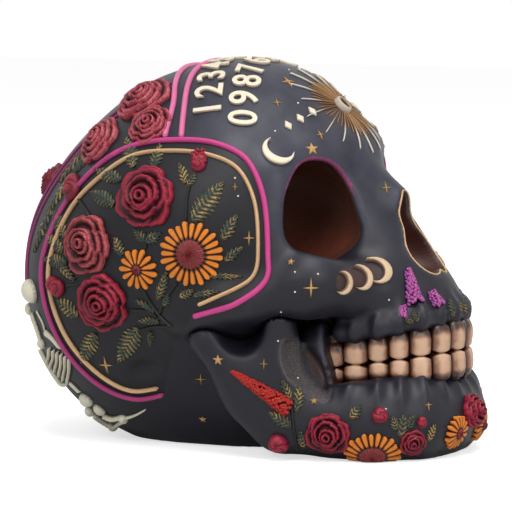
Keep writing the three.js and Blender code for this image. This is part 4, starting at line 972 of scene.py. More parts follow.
# Boxes in millimetres that the castings' surfaces are worked out in: half width, back, front and top; both
# start a little below the floor, where they are cut
SKULL_SPAN, JAW_SPAN, BELOW_FLOOR = (70, 104, -96, 159), (68, 12, -104, 62), -2.1
# The gap between jaw and skull where they would meet, and the jaw's cells as a share of the skull's
JAW_GAP, JAW_CELL = 0.3, 0.85


class SKULL_OT_castings(bpy.types.Operator):
    """Builds the skull and the jaw casting"""

    bl_idname = "skull.castings"
    bl_label = "Castings"

    def execute(self, context):
        cell = context.scene.skull_sizes.grid * 1.0
        paint_coat = casting_paint()

        def footed(field):
            return lambda p: np.maximum(field(p), -p[..., 2])

        def cuts(low, high, step):
            return np.linspace(low, high, int(round((high - low) / step)) + 1)

        def across(reach, step):
            half = cuts(step / 2, reach, step)
            return np.concatenate([-half[::-1], half])

        def jaw_alone(p):
            return np.maximum(jaw(p), JAW_GAP - cranium(p))

        for name, node, field, span, step, slot in (
            ("skull_surface", "skull_casting", cranium, SKULL_SPAN, cell, "skull_paint"),
            ("jaw_surface", "jaw_casting", jaw_alone, JAW_SPAN, cell * JAW_CELL, "jaw_paint"),
        ):
            reach, back, front, top = span
            grid = (across(reach, step), cuts(front, back, step), cuts(BELOW_FLOOR, top, step))
            points, quads = level_surface(footed(field), *grid)
            points[:, 2] = np.maximum(points[:, 2], 0)
            tones = casting_tones(points)
            points = root_ridges(points, settled(points, field, rounds=0)[1])
            shape = {"points": points, "quads": quads, "tris": np.zeros((0, 3), int), "tones": tones}
            add_piece(name, shape, paint_coat, (node,))
        # A fine tan line brushed round the edge of the nose opening, slightly raised
        line = surface_cord(nose_rim(), 0.8, 0.35, spacing=0.7, columns=8, sink=0.5)
        add_piece("nose_edge_line", line, paint("tan_acrylic_line", colour("tan")), ())
        return {"FINISHED"}


def nose_rim():
    """Points round the nose opening: along each way out from its middle, the last one that lies inside."""
    ways, steps, widest, before, middle = 121, 120, 26, -125.0, 84
    a = np.linspace(0, 2 * np.pi, ways)[:, None]
    r = np.linspace(0.5, widest, steps)
    origin = np.stack([r * np.sin(a), np.full((ways, steps), before), middle + r * np.cos(a)], -1)
    back = np.broadcast_to((0.0, 1.0, 0.0), origin.shape)
    met = march(origin, back, 0, lambda p: bare_cranium(shares(p)) * UNIT)
    inside = nose_field(shares(met)) < 0
    last = np.argmin(np.concatenate([inside[:, 1:], np.zeros((ways, 1), bool)], 1), 1)
    return met[np.arange(ways), last]


def on_right(p):
    """Points brought over to the skull's right side."""
    return np.stack([-np.abs(p[:, 0]), p[:, 1], p[:, 2]], -1)


def within_cord(p):
    """1 for points that lie inside the outer cord, seen from the middle of the head, else 0."""
    away = on_right(p) - heart_at("head")
    a = np.degrees(np.arctan2(-away[:, 0], -away[:, 1]))
    e = np.degrees(np.arcsin(away[:, 2] / np.linalg.norm(away, axis=1)))
    inside = np.zeros(len(p), bool)
    for (a0, e0), (a1, e1) in zip(OUTER_CORD, OUTER_CORD[1:] + OUTER_CORD[:1]):
        crossed = (e0 > e) != (e1 > e)
        inside ^= crossed & (a < (a1 - a0) * (e - e0) / (e1 - e0 + 1e-9) + a0)
    return inside.astype(float)


def tooth_places(arch):
    """Middle of each tooth of a row in millimetres, from the front backwards, and the angle it turns by."""
    line = np.array([(-x / WIDTH_SHARE * WIDTH, SHIFT - u * UNIT) for x, u in arch])
    fine = route(line, 1200)
    way = np.concatenate([[0], np.cumsum(np.linalg.norm(np.diff(fine, axis=0), axis=1))])
    middles = np.cumsum(TOOTH_WIDTHS) - np.array(TOOTH_WIDTHS) / 2
    at = np.stack([np.interp(middles, way, fine[:, k]) for k in (0, 1)], -1)
    on = np.stack([np.interp(middles + 0.5, way, fine[:, k]) for k in (0, 1)], -1) - at
    return at, np.arctan2(-on[:, 1], -on[:, 0])


# Height in millimetres of the ridges over the roots, and how steeply they fall over a tooth's width
ROOT_RISE, ROOT_FALL = 2.0, 3.6


def root_ridges(p, out):
    """Raises a low upright ridge on the gum over each tooth, exp(-(fall a / w)^2) of the full rise, with a
    the distance aside and w the tooth's width."""
    rise = np.zeros(len(p))
    side = on_right(p)
    q = shares(p)
    for arch, gum, way in ((UPPER_ARCH_SHARES, upper_gum, 1), (LOWER_ARCH_SHARES, lower_gum, -1)):
        above = (q[:, 2] - gum(q[:, 1])) * way * UNIT
        window = smooth_step(above, -1.0, 2.0) * smooth_step(above, 17, 4) * smooth_step(q[:, 1], 24, 28)
        centres, turn = tooth_places(arch)
        for k, (x, y) in enumerate(centres):
            along = (side[:, 0] - x) * math.cos(turn[k]) + (side[:, 1] - y) * math.sin(turn[k])
            near = smooth_step(np.hypot(side[:, 0] - x, side[:, 1] - y), 17, 10)
            rise += ROOT_RISE * window * near * np.exp(-((along / TOOTH_WIDTHS[k] * ROOT_FALL) ** 2))
    return p + out * rise[:, None]


# Picture places of the ends of the brown wash on the cheek
CHEEK_WASH_PIXELS = ((346, 282), (370, 272))
# The sunburst's middle: azimuth and elevation in degrees, seen from the head's heart
SUNBURST_ANGLES = (0, 50)


def casting_tones(p):
    """Where each layer of paint lies on the castings, from the same fields as their shape. The bend is the
    mean of the field 2.6 mm away on every side, above zero on high places and below it in grooves."""
    q = shares(p)
    across, ahead, up, tall = np.abs(q[:, 0]), q[:, 1], q[:, 2], p[:, 2]
    bend = sum(whole(p + s * 2.6 * np.eye(3)[k]) for k in range(3) for s in (1, -1)) / 6
    socket, nose, side = socket_field(q) * UNIT, nose_field(q) * UNIT, leaf_hollow(q) * UNIT
    depth = -bare_cranium(q) * UNIT
    burst = np.linalg.norm(p - spots("head", [SUNBURST_ANGLES])[0], axis=1)
    cheek = seen(CHEEK_WASH_PIXELS)
    low_jaw = smooth_step(tall, 62, 55)
    in_socket = smooth_step(socket, 1.5, -0.2)
    # Painted highlight: lighter towards the top and the front of the crown
    crown = 0.75 * smooth_step(tall, 60, 128) * smooth_step(ahead, -22, 8)
    over_lower, under_upper = up - lower_gum(ahead), upper_gum(ahead) - up
    mouth = smooth_step(over_lower, -0.4, 0.3) * smooth_step(under_upper, -0.4, 0.3)
    brow = smooth_step(np.abs(socket - 0.6), 2.6, 0.5) * smooth_step(depth, 2.4, 0.9)
    return {
        "high": np.clip(bend * 1.3, 0, 1.0) * 0.8 + crown,
        # Painted shade: darker in the grooves, and over the whole field inside the outer cord
        "low": np.maximum(np.clip(-bend * 2.2, 0, 1.2), 1.1 * within_cord(p)),
        "wash": smooth_step(limb(on_right(p), *cheek, 0, 0), 6.8, 3.4),
        "glow": smooth_step(burst, 27, 4),
        "socket": smooth_step(depth, 0.9, 2.6) * in_socket,
        "deep": smooth_step(depth, 2, 7) * smooth_step(up, 52, 39) * in_socket,
        "nose": smooth_step(depth, 0.9, 2.0) * smooth_step(nose, 1.4, -0.2) * smooth_step(ahead, 25, 28),
        # Painted shade behind the teeth, between the gum lines
        "mouth": mouth * smooth_step(ahead, 21, 25),
        "plum": brow * smooth_step(up, 50, 57) * smooth_step(ahead, 8, 14),
        "hollow": smooth_step(across, 21.2, 18.0) * smooth_step(side, 1.2, -0.3) * low_jaw,
        "hollow_rim": 0.75 * smooth_step(side, 1.4, 0.2) * smooth_step(across, 18.0, 21.6) * low_jaw,
    }


def tooth(width, height, depth, seed, neck):
    """One tooth, root to bite: from the neck its half width opens like an arch, sqrt(1 - (1 - t)^2), to full
    width; each level is a squared ring with fine upright ridges, and the bite is rounded."""
    rows, columns = 34, 40
    t = (np.arange(rows) + 0.5)[:, None] / rows
    b = np.arange(columns) / columns * 2 * np.pi
    square = (np.abs(np.cos(b)) ** 2.8 + np.abs(np.sin(b)) ** 2.8) ** (-1 / 2.8)
    arch = np.clip((t - neck + 0.1) / 0.42, 0, 1)
    size = (0.5 + 0.52 * np.sqrt(1 - (1 - arch) ** 2)) * np.minimum(1, np.sqrt(np.maximum(1 - t, 0) * 12))
    size = size * (1 + 0.012 * np.sin(b * 9 + seed)) * (1 - 0.05 * smooth_step(t, 0.6, 1))
    x = size * square * np.cos(b) * width / 2
    y = size * square * np.sin(b) * depth / 2 * (0.84 + 0.16 * np.sin(np.pi * np.clip(t, 0, 1)))
    z = -height * t + 0.03 * height * np.cos(2 * b) * t
    streaks = 0.15 * np.abs(np.sin(4 * b + seed)) * smooth_step(t, 1, 0.6)
    # The wash tone: streaks of brown, and painted shade darker at the neck and on the sides that face the
    # next teeth
    wash = 0.95 * smooth_step(t - neck, 0.26, 0.0) + 1.25 * np.abs(np.cos(b)) ** 2.2 + streaks
    tones = {"wash": np.clip(wash, 0, 1.4), "bite": smooth_step(t, 0.9, 1.0) + 0 * b}
    grid = np.stack(np.broadcast_arrays(x, y, z), -1)
    return closed_shape((0, 0, 0), grid, (0, 0, -height), tones)


# How many times as wide as its place a tooth is, so that it touches the next; and how far in millimetres the
# crowns of the lower front teeth reach below the gum
TOOTH_TOUCH, LOWER_FRONT_REACH = 1.05, 3.4


class SKULL_OT_teeth(bpy.types.Operator):
    """Builds both rows of teeth"""

    bl_idname = "skull.teeth"
    bl_label = "Teeth"

    def execute(self, context):
        # Tan enamel-like acrylic with a brown wash run down it in streaks, and painted shade, brown to near
        # black, at the necks and between the crowns
        coat = paint(
            "tan_acrylic_wash_and_painted_shade",
            colour("tooth"),
            (
                ("wash", colour("tooth_wash"), 0.02, 0.75, 0.92, 3.0),
                ("wash", colour("tooth_low"), 0.6, 1.15, 0.97, 0),
                ("bite", colour("tooth_wash"), 0.2, 1.3, 0.5, 1.2),
            ),
            roughness=0.34,
            mottle=0.12,
            spread=4.0,
            shine=0.5,
        )
        for name, arch, tall, lift, gum, front_reach in (
            ("upper_teeth", UPPER_ARCH_SHARES, UPPER_TALL, 1, upper_gum, 0.0),
            ("lower_teeth", LOWER_ARCH_SHARES, LOWER_TALL, -1, lower_gum, LOWER_FRONT_REACH),
        ):
            made = []
            centres, turns = tooth_places(arch)
            for k, ((x, y), turn) in enumerate(zip(centres, turns)):
                ahead = (SHIFT - y) / UNIT
                bite = bite_at(ahead) / HEIGHT_SHARE * HEIGHT
                crown = abs(gum(ahead) - bite_at(ahead)) / HEIGHT_SHARE * HEIGHT
                crown += front_reach * smooth_step(ahead, 36, 42)
                one = tooth(TOOTH_WIDTHS[k] * TOOTH_TOUCH, tall, TOOTH_DEEP, k, 1 - crown / tall)
                if lift < 0:
                    one = mirrored(one, axis=2)
                p = one["points"] + (0, 0, tall * lift)
                c, s = math.cos(turn), math.sin(turn)
                p = np.stack([p[:, 0] * c - p[:, 1] * s, p[:, 0] * s + p[:, 1] * c, p[:, 2]], -1)
                form = {**one, "points": p + (x, y, bite)}
                made += [form, mirrored(form)]
            add_piece(f"{name}_painted", joined(made), coat, (name,))
        return {"FINISHED"}


# Cords, straps and thin lines of the back: azimuth and elevation in degrees, seen from the head's heart
OUTER_CORD = (
    (78, -19), (63, -13), (54, -6), (53, 3), (54, 20), (59, 32), (70, 38), (87, 40), (104, 38), (120, 30),
    (132, 18), (138, 5), (140, -8), (136, -25), (129, -40), (119, -50), (104, -53),
)  # fmt: skip
INNER_CORD = (
    (76, -15), (63, -9), (57, -4), (56, 6), (57, 19), (62, 29), (72, 34), (88, 36), (104, 34), (117, 26),
    (128, 16), (134, 4), (136, -8), (132, -24), (125, -38), (117, -47), (105, -50),
)  # fmt: skip
REAR_STRAP = (
    (94, 40.6), (98, 54), (110, 64), (132, 72), (180, 76), (-132, 72), (-110, 64), (-98, 54), (-94, 40.6),
)  # fmt: skip
FRONT_STRAP = (
    (86, 40.6), (91, 54), (98, 64), (111, 74), (180, 84), (-111, 74), (-98, 64), (-91, 54), (-86, 40.6),
)  # fmt: skip
BACK_LINES = (
    ((112, 62), (128, 50), (142, 34), (150, 16), (154, -2), (153, -12)),
    ((116, 65), (133, 52), (147, 35), (155, 16), (159, -2), (158, -12)),
)


class SKULL_OT_cords(bpy.types.Operator):
    """Lays the cords round the side fields and the straps over the crown"""

    bl_idname = "skull.cords"
    bl_label = "Cords and straps"

    def execute(self, context):
        sizes = context.scene.skull_sizes
        shade = colour("recess")
        for name, angles, width, hue, slot in (
            ("outer_cord", OUTER_CORD, sizes.cord_width, "magenta", "magenta_paint"),
            ("inner_cord", INNER_CORD, sizes.cord_width * 0.7, "tan", "tan_paint"),
        ):
            # Acrylic on a raised cord of resin: bright on the crest, and painted shade darker where it meets
            # the casting
            fade = ("along", colour("plum"), 0.4, 0.62, 0.5 if hue == "magenta" else 0.0, 3.0)
            layers = (fade, ("lip", shade, 0.45, 0.0, 0.55, 0.8))
            coat = paint(f"{hue}_acrylic_cord", colour(hue), layers, roughness=0.45)
            shape = surface_cord(spots("head", angles), width, sizes.cord_height)
            add_pair(name, shape, coat)
        # Pink acrylic strap, with painted shade darker where it meets the casting
        layers = (("lip", shade, 0.4, 0.0, 0.5, 0.8),)
        coat = paint("pink_acrylic_strap", colour("pink"), layers, roughness=0.4)
        for name, angles in (("rear_crown_cord", REAR_STRAP), ("front_crown_cord", FRONT_STRAP)):
            shape = surface_cord(spots("head", angles), sizes.strap_width, sizes.cord_height)
            add_piece(f"{name}_painted", shape, coat, (name,))
        # Two thin plum lines down the back on each side, with painted shade at their feet
        coat = paint("plum_acrylic_border", colour("plum"), (("lip", shade, 0.45, 0.0, 0.6, 0.8),))
        lines = [surface_cord(spots("head", line), 1.2, 0.9, columns=8, sink=0.4) for line in BACK_LINES]
        add_pair("back_border", joined(lines), coat, replaced=False)
        return {"FINISHED"}


# Leaves by the node that they stand for: picture places of foot and tip, and width in millimetres
LEAF_PIXELS = {
    "upper_leaves": (
        ((134, 168), (127, 137), 6.5), ((153, 170), (161, 145), 5.5), ((122, 181), (96, 170), 5.5),
        ((115, 205), (92, 192), 6.0), ((192, 222), (224, 182), 8.5), ((146, 242), (134, 229), 4.0),
        ((146, 242), (161, 233), 4.5), ((186, 184), (180, 164), 4.0), ((188, 186), (196, 174), 3.5),
    ),
    "rear_leaves": (
        ((66, 236), (54, 211), 6.5), ((64, 251), (47, 235), 5.0), ((68, 263), (45, 259), 5.5),
        ((59, 264), (75, 280), 4.5), ((122, 256), (116, 238), 5.0),
    ),
    "low_leaves": (
        ((79, 316), (57, 299), 6.5), ((96, 333), (82, 362), 7.0), ((138, 327), (119, 361), 8.0),
        ((150, 331), (151, 346), 2.6),
    ),
    "front_leaves": (
        ((222, 240), (237, 214), 5.0), ((224, 261), (243, 247), 4.0), ((207, 276), (242, 277), 2.6),
        ((180, 297), (194, 290), 4.0), ((193, 296), (219, 291), 3.0), ((158, 300), (167, 272), 4.5),
        ((165, 306), (169, 294), 3.0), ((160, 322), (136, 322), 3.4), ((155, 312), (135, 300), 3.0),
    ),
}  # fmt: skip
# Stems by the same nodes, as picture places along each
STEM_PIXELS = {
    "upper_leaves": (((186, 222), (187, 200), (192, 175)), ((146, 232), (146, 250))),
    "rear_leaves": (((78, 197), (88, 213), (92, 224)), ((66, 286), (86, 282), (96, 276))),
    "low_leaves": (((129, 310), (152, 312), (158, 318)), ((171, 326), (150, 327), (124, 335))),
    "front_leaves": (
        ((141, 285), (152, 305), (173, 327)), ((178, 282), (168, 296), (160, 314)),
        ((198, 281), (214, 276), (236, 277)),
    ),
}  # fmt: skip
# Leaves that stand for no node, in the same way
JAW_LEAF_PIXELS = (
    ((291, 426), (268, 412), 5.0), ((296, 412), (301, 385), 4.5), ((291, 400), (282, 380), 3.4),
    ((350, 418), (361, 405), 5.0), ((400, 436), (404, 413), 5.0), ((396, 430), (392, 416), 4.0),
    ((408, 428), (414, 416), 4.0), ((428, 440), (434, 424), 3.4), ((304, 446), (300, 430), 4.0),
)  # fmt: skip
JAW_STEM_PIXELS = ((298, 450), (294, 430), (291, 402))
FACE_LEAF_PIXELS = (
    ((418, 322), (412, 310), 2.2), ((419, 322), (420, 307), 2.2), ((421, 322), (428, 310), 2.2),
    ((414, 322), (404, 320), 2.6), ((440, 316), (446, 311), 2.6), ((452, 316), (447, 297), 3.0),
    ((458, 316), (457, 300), 3.0),
)  # fmt: skip
# Foot and tip of the leaves that hang behind the cords, as angles seen from the head's heart, and the width,
# height and number of lobes of each
HANGING_LEAF_ANGLES = (
    ((131, 36), (138, 22)), ((137, 24), (144, 10)), ((142, 12), (147, -2)), ((138, 34), (145, 20)),
)  # fmt: skip
HANGING_LEAF = (7.0, 1.3, 7)


def leaf_paint():
    """Grey-green acrylic: painted shade dark in the grooves, tan dry-brushed along the veins."""
    return paint(
        "grey_green_acrylic_leaf",
        colour("leaf"),
        (("vein", colour("leaf_low"), 0.62, 0.1, 0.95, 0), ("vein", colour("leaf_high"), 0.7, 1.3, 0.9, 5.0)),
        roughness=0.5,
        spread=2.5,
        mottle=0.25,
    )


def picture_leaves(items):
    """Leaves laid from foot to tip, both given as picture places."""
    made = []
    for foot, tip, width in items:
        start, end = seen([foot, tip])
        size = float(np.linalg.norm(end - start))
        form = leaf(size * 1.04, width * 1.2, 1.5, teeth=max(5, round(size / 1.9)))
        made.append(lay(form, place_at(start, end)))
    return made


class SKULL_OT_leaves(bpy.types.Operator):
    """Lays the leaves and stems of the side fields and the jaw"""

    bl_idname = "skull.leaves"
    bl_label = "Leaves"

    def execute(self, context):
        coat = leaf_paint()
        width = context.scene.skull_sizes.stem_width

        def stem(pixels):
            return surface_cord(seen(pixels), width, 1.1, spacing=0.8, columns=8)

        for name, items in LEAF_PIXELS.items():
            made = picture_leaves(items) + [stem(pixels) for pixels in STEM_PIXELS[name]]
            add_pair(name, joined(made), coat)
        made = [*picture_leaves(JAW_LEAF_PIXELS), stem(JAW_STEM_PIXELS)]
        add_pair("jaw_leaves", joined(made), coat, replaced=False)
        add_pair("face_leaves", joined(picture_leaves(FACE_LEAF_PIXELS)), coat, replaced=False)
        hanging = []
        for ends in HANGING_LEAF_ANGLES:
            a, b = spots("head", ends)
            hanging.append(lay(leaf(float(np.linalg.norm(b - a)), *HANGING_LEAF), place_at(a, b)))
        add_pair("hanging_leaves", joined(hanging), coat, replaced=False)
        return {"FINISHED"}


def rose_paint(name, low, base, high):
    """Acrylic in three layers: painted shade dark in the grooves, the body colour, and a painted highlight on
    the lips.
    """
    return paint(
        name,
        colour(base),
        (("lip", colour(low), 0.5, 0.02, 0.9, 0.8), ("lip", colour(high), 0.62, 1.15, 0.85, 0.7)),
        roughness=0.46,
        spread=2.0,
        mottle=0.2,
    )


# Large roses: name, heart and angles seen from it, radius and height in millimetres, turn, paint and slot
ROSES = (
    ("crown_rose_1", "head", (121, 55), 12.2, 6.6, 10, "dusty", "dusty_rose_paint"),
    ("crown_rose_2", "head", (104, 45), 9.2, 5.4, 50, "dusty", "dusty_rose_paint"),
    ("crown_rose_3", "head", (130, 37), 10.8, 6.0, 80, "dusty", "coral_paint"),
    ("top_rose", "head", (96, 20), 12.9, 6.4, 20, "crimson", "crimson_paint"),
    ("rear_rose", "head", (119, 3), 12.6, 6.4, 50, "coral", "coral_paint"),
    ("low_rose", "head", (114, -16), 12.2, 6.4, 40, "crimson", "crimson_paint"),
    ("jaw_rose", "jaw", (79, -13), 9.2, 5.0, 20, "crimson", "crimson_paint"),
)
# The other roses: radius and height in millimetres and seed of each, the angles of the first two seen from
# the hearts of jaw and head, and the picture place of the third
CHIN_ROSE, BACK_ROSE, SMALL_ROSE = (7.2, 6.0, 5), (7.5, 4.2, 8), (5.6, 3.2, 3)
CHIN_ROSE_ANGLES, BACK_ROSE_ANGLES, SMALL_ROSE_PIXEL = (0, -5), (160, 19), (413, 443)
# Rings of a small rose as shares of its radius, its petals in each, and the rows and columns of its relief
SMALL_RINGS = ((0.22, 0.46, 0.72, 1.0), (2, 3, 4, 5), 36, 88)


class SKULL_OT_roses(bpy.types.Operator):
    """Lays the roses of the crown, the side fields, the jaw and the chin"""

    bl_idname = "skull.roses"
    bl_label = "Roses"

    def execute(self, context):
        crimson = rose_paint("crimson_acrylic_petals", "crimson_low", "crimson", "crimson_high")
        coral = rose_paint("coral_acrylic_petals", "crimson_low", "coral", "coral_high")
        dusty = rose_paint("dusty_rose_acrylic_petals", "crimson_low", "rose", "rose_high")
        coats = {"crimson": crimson, "coral": coral, "dusty": dusty}
        for name, heart, at, radius, height, spin, coat, slot in ROSES:
            form = rose(radius, height, len(name) + spin, *LARGE_RINGS)
            add_pair(name, lay(form, place_at(spots(heart, [at])[0], spin=spin)), coats[coat])
        chin = lay(rose(*CHIN_ROSE, *LARGE_RINGS), place_at(spots("jaw", [CHIN_ROSE_ANGLES])[0]))
        add_piece("chin_rose_painted", chin, crimson, ("chin_rose",))
        small = lay(rose(*SMALL_ROSE, *SMALL_RINGS), place_at(seen(SMALL_ROSE_PIXEL)))
        add_pair("small_rose", small, crimson, replaced=False)
        back = lay(rose(*BACK_ROSE, *SMALL_RINGS), place_at(spots("head", [BACK_ROSE_ANGLES])[0]))
        burgundy = rose_paint("burgundy_acrylic_petals", "crimson_low", "burgundy", "crimson")
        add_pair("back_rose", back, burgundy, replaced=False)
        return {"FINISHED"}


# Ray flowers: name, heart and angles seen from it, then radius and height in millimetres, petals, and the
# shares of the radius where the disc ends and where the gaps between petals start
RAY_FLOWERS = (
    ("sunflower", "head", (78, 2), (13.1, 3.4, 23, 0.42, 0.72)),
    ("daisy", "head", (98, -4), (8.6, 2.8, 13, 0.2, 0.4)),
    ("half_sunflower", "jaw", (57, -23), (11.6, 3.2, 21, 0.42, 0.7)),
    ("zinnia", "jaw", (14, -13), (7.2, 3.4, 15, 0.24, 0.6)),
)


class SKULL_OT_ray_flowers(bpy.types.Operator):
    """Lays the sunflowers, daisies and zinnias"""

    bl_idname = "skull.ray_flowers"
    bl_label = "Ray flowers"

    def execute(self, context):
        # Orange acrylic with painted shade, burnt orange on the petals' sides and near black in the gaps
        # between them, and a seed disc of dark red dots
        coat = paint(
            "orange_acrylic_petals",
            colour("orange"),
            (
                ("ray", colour("orange_low"), 0.6, 0.3, 0.8, 0),
                ("ray", colour("leaf_low"), 0.34, 0.05, 0.97, 0),
                ("disc", colour("seeds"), 0.4, 0.6, 1.0, 0),
                ("disc", colour("crimson_high"), 1.0, 1.25, 0.75, 0.6),
            ),
            roughness=0.45,
            spread=2.0,
            mottle=0.2,
        )
        for name, heart, at, measures in RAY_FLOWERS:
            shape = lay(bloom(*measures), place_at(spots(heart, [at])[0]))
            shape["points"][:, 2] = np.maximum(shape["points"][:, 2], 0)
            add_pair(name, shape, coat)
        return {"FINISHED"}


def bead_spike(length_mm, radius, size, seed, taper):
    """Small petals heaped on a lying spike, from its tip to its foot, each turned by the golden angle."""
    rng = np.random.default_rng(seed)
    count = max(8, int(length_mm * radius * 2.6 * (taper[0] + taper[1]) / 2 / size**2))
    t = (np.arange(count) + 0.5) / count
    width = radius * (taper[0] + (taper[1] - taper[0]) * t**0.8)
    turn = (np.arange(count) * 2.4 + rng.normal(0, 0.15, count)) % np.pi
    centres = np.stack([np.cos(turn) * width, t * length_mm, 0.2 + np.abs(np.sin(turn)) * width * 0.75], -1)
    centres[:, 1] += rng.normal(0, 0.25 * size, count)
    return beads(centres, size * (0.75 + 0.35 * t) * (0.85 + 0.3 * rng.random(count)))


# Buds: picture places of foot and tip, then width and height in millimetres
ROSE_BUD = ((74, 200), (74, 175), 8.6, 4.0)
THISTLE_FOOT = ((197, 172), (202, 154), 6.0, 3.0)
SMALL_BUDS = (
    ((64, 292), (49, 280), 7.0, 3.4),
    ((281, 449), (276, 431), 8.0, 4.2),
    ((380, 423), (379, 407), 6.4, 3.2),
    ((422, 428), (421, 416), 4.0, 2.2),
)
# Spikes: picture places of tip and foot, radius and bead size in millimetres, seed, and the shares of the
# radius at tip and foot
THISTLE_HEAD = ((199, 152), (200, 164), 2.6, 0.8, 2, (1.1, 0.9))
SPIKE_FLOWER = ((232, 371), (290, 408), 3.5, 0.75, 3, (0.1, 1.0))
RIGHT_LUPINS = (
    ((407, 269), (415, 304), 3.2, 0.85, 4, (0.3, 1.0)),
    ((403, 306), (402, 317), 1.7, 0.7, 5, (0.7, 1.0)),
    ((431, 292), (438, 306), 2.8, 0.8, 6, (0.5, 1.0)),
)
# The left side's main spike is lower, as none shows past the nose
LEFT_LUPINS = (((411, 290), (415, 306), 2.4, 0.8, 7, (0.3, 1.0)), RIGHT_LUPINS[1])


class SKULL_OT_buds(bpy.types.Operator):
    """Lays the buds, the spike flowers and the lupins"""

    bl_idname = "skull.buds"
    bl_label = "Buds and spikes"

    def execute(self, context):
        crimson = rose_paint("crimson_acrylic_bud", "crimson_low", "crimson", "crimson_high")
        burgundy = rose_paint("burgundy_acrylic_bud", "crimson_low", "burgundy", "crimson_high")
        # Beaded spikes: painted shade dark between the beads, and a painted highlight on top of some
        scarlet = paint(
            "scarlet_acrylic_spike",
            colour("scarlet"),
            (
                ("lip", colour("crimson_low"), 0.45, 0.0, 0.85, 0),
                ("lip", colour("orange"), 1.02, 1.3, 0.7, 0.9),
            ),
            mottle=0.25,
            spread=2.0,
        )
        # Lupins the same way: painted shade under the beads, and a pink painted highlight on their tops
        purple = paint(
            "purple_acrylic_lupin",
            colour("purple"),
            (
                ("lip", colour("crimson_low"), 0.4, 0.0, 0.7, 0),
                ("lip", colour("pink"), 0.55, 1.25, 0.75, 1.2),
            ),
            mottle=0.25,
            spread=2.0,
        )

        def spike(start, end, radius, size, seed, taper):
            a, b = seen([start, end])
            long = float(np.linalg.norm(b - a))
            return lay(bead_spike(long, radius, size, seed, taper), place_at(a, b))

        def egg(foot, tip, wide, height):
            a, b = seen([foot, tip])
            return lay(bud(float(np.linalg.norm(b - a)), wide, height), place_at(a, b))

        add_pair("rose_bud", egg(*ROSE_BUD), burgundy)
        add_pair("thistle_bud", joined([egg(*THISTLE_FOOT), spike(*THISTLE_HEAD)]), crimson)
        add_pair("spike_flower", spike(*SPIKE_FLOWER), scarlet)
        right = joined([spike(*item) for item in RIGHT_LUPINS])
        add_piece("cheek_lupin_right_painted", right, purple, ("cheek_lupin_right",))
        left = mirrored(joined([spike(*item) for item in LEFT_LUPINS]))
        add_piece("cheek_lupin_left_painted", left, purple, ("cheek_lupin_left",))
        small = [egg(*item) for item in SMALL_BUDS]
        add_pair("small_buds", joined(small), crimson, replaced=False)
        return {"FINISHED"}


# Moons: name, heart and angles seen from it, turn in degrees and radius in millimetres
MOONS = (
    ("temple_moon", "head", (46.8, 35), 46, 6.4),
    ("cheek_moon_1", "face", (67, 13), 165, 4.5),
    ("cheek_moon_2", "face", (58, 16.5), 168, 5.2),
    ("cheek_moon_3", "face", (48, 21), 172, 6.2),
)
MOON_RISE = 1.9


class SKULL_OT_moons(bpy.types.Operator):
    """Lays the crescent moons"""

    bl_idname = "skull.moons"
    bl_label = "Moons"

    def execute(self, context):
        # Cream acrylic on a raised crescent, with painted shade darker on its edges
        layers = (("lip", colour("umber"), 0.5, 0.0, 0.7, 0.8),)
        coat = paint("cream_acrylic_moon", colour("cream"), layers, roughness=0.45)
        # The cheek moons in tan cream, with the same painted shade on their edges
        layers = (("lip", colour("umber"), 0.75, 0.0, 0.8, 0.8),)
        tan_coat_with_painted_shade = paint("tan_cream_acrylic_moon", colour("moon"), layers, roughness=0.45)
        for name, heart, at, spin, radius in MOONS:
            moon = lay(crescent(radius, MOON_RISE), place_at(spots(heart, [at])[0], spin=spin))
            add_pair(name, moon, coat if heart == "head" else tan_coat_with_painted_shade)
        return {"FINISHED"}


# Rays of the sunburst, every third one long: how many, where they start, and of the long and the short ones
# length, half width and height, in millimetres
RAY_COUNT, RAY_FOOT = 48, 4
LONG_RAY, SHORT_RAY = (24.5, 0.4, 0.85), (15.5, 0.26, 0.55)
# The boss: half width in millimetres, and how much taller than wide it is
BOSS_HALF, BOSS_TALL = 3.3, 1.3


def ray(way, size, wide, high, paleness):
    """One ray of the sunburst: a thin bar along its way that widens outwards to a rounded end."""

    def half(t):
        return wide * np.sin(np.pi * np.clip(t, 0.02, 0.98)) ** 0.2 * (0.4 + 0.6 * t)

    def section(t, b):
        return np.where(np.sin(b) > 0, np.sin(b), 0.8 * np.sin(b)) + 0 * t

    tones = {
        "lip": lambda t, b: np.clip(np.sin(b), 0, 1) + 0 * t,
        "along": lambda t, b: paleness * t + 0 * b,
    }

    def path(t):
        return way * (RAY_FOOT + (size - RAY_FOOT) * t)[:, None]

    return strip(path, half, high, 18, 8, section, tones)


def boss_height(s, a):
    """A rim round a hollow, falling away outside: a mound at 0.72 of the radius, less a dip in the middle."""
    rim = 1.6 + 0.9 * np.exp(-(((s - 0.72) / 0.17) ** 2))
    return rim - 1.1 * np.exp(-((s / 0.5) ** 4)) - 1.4 * smooth_step(s, 0.9, 1) + 0 * a


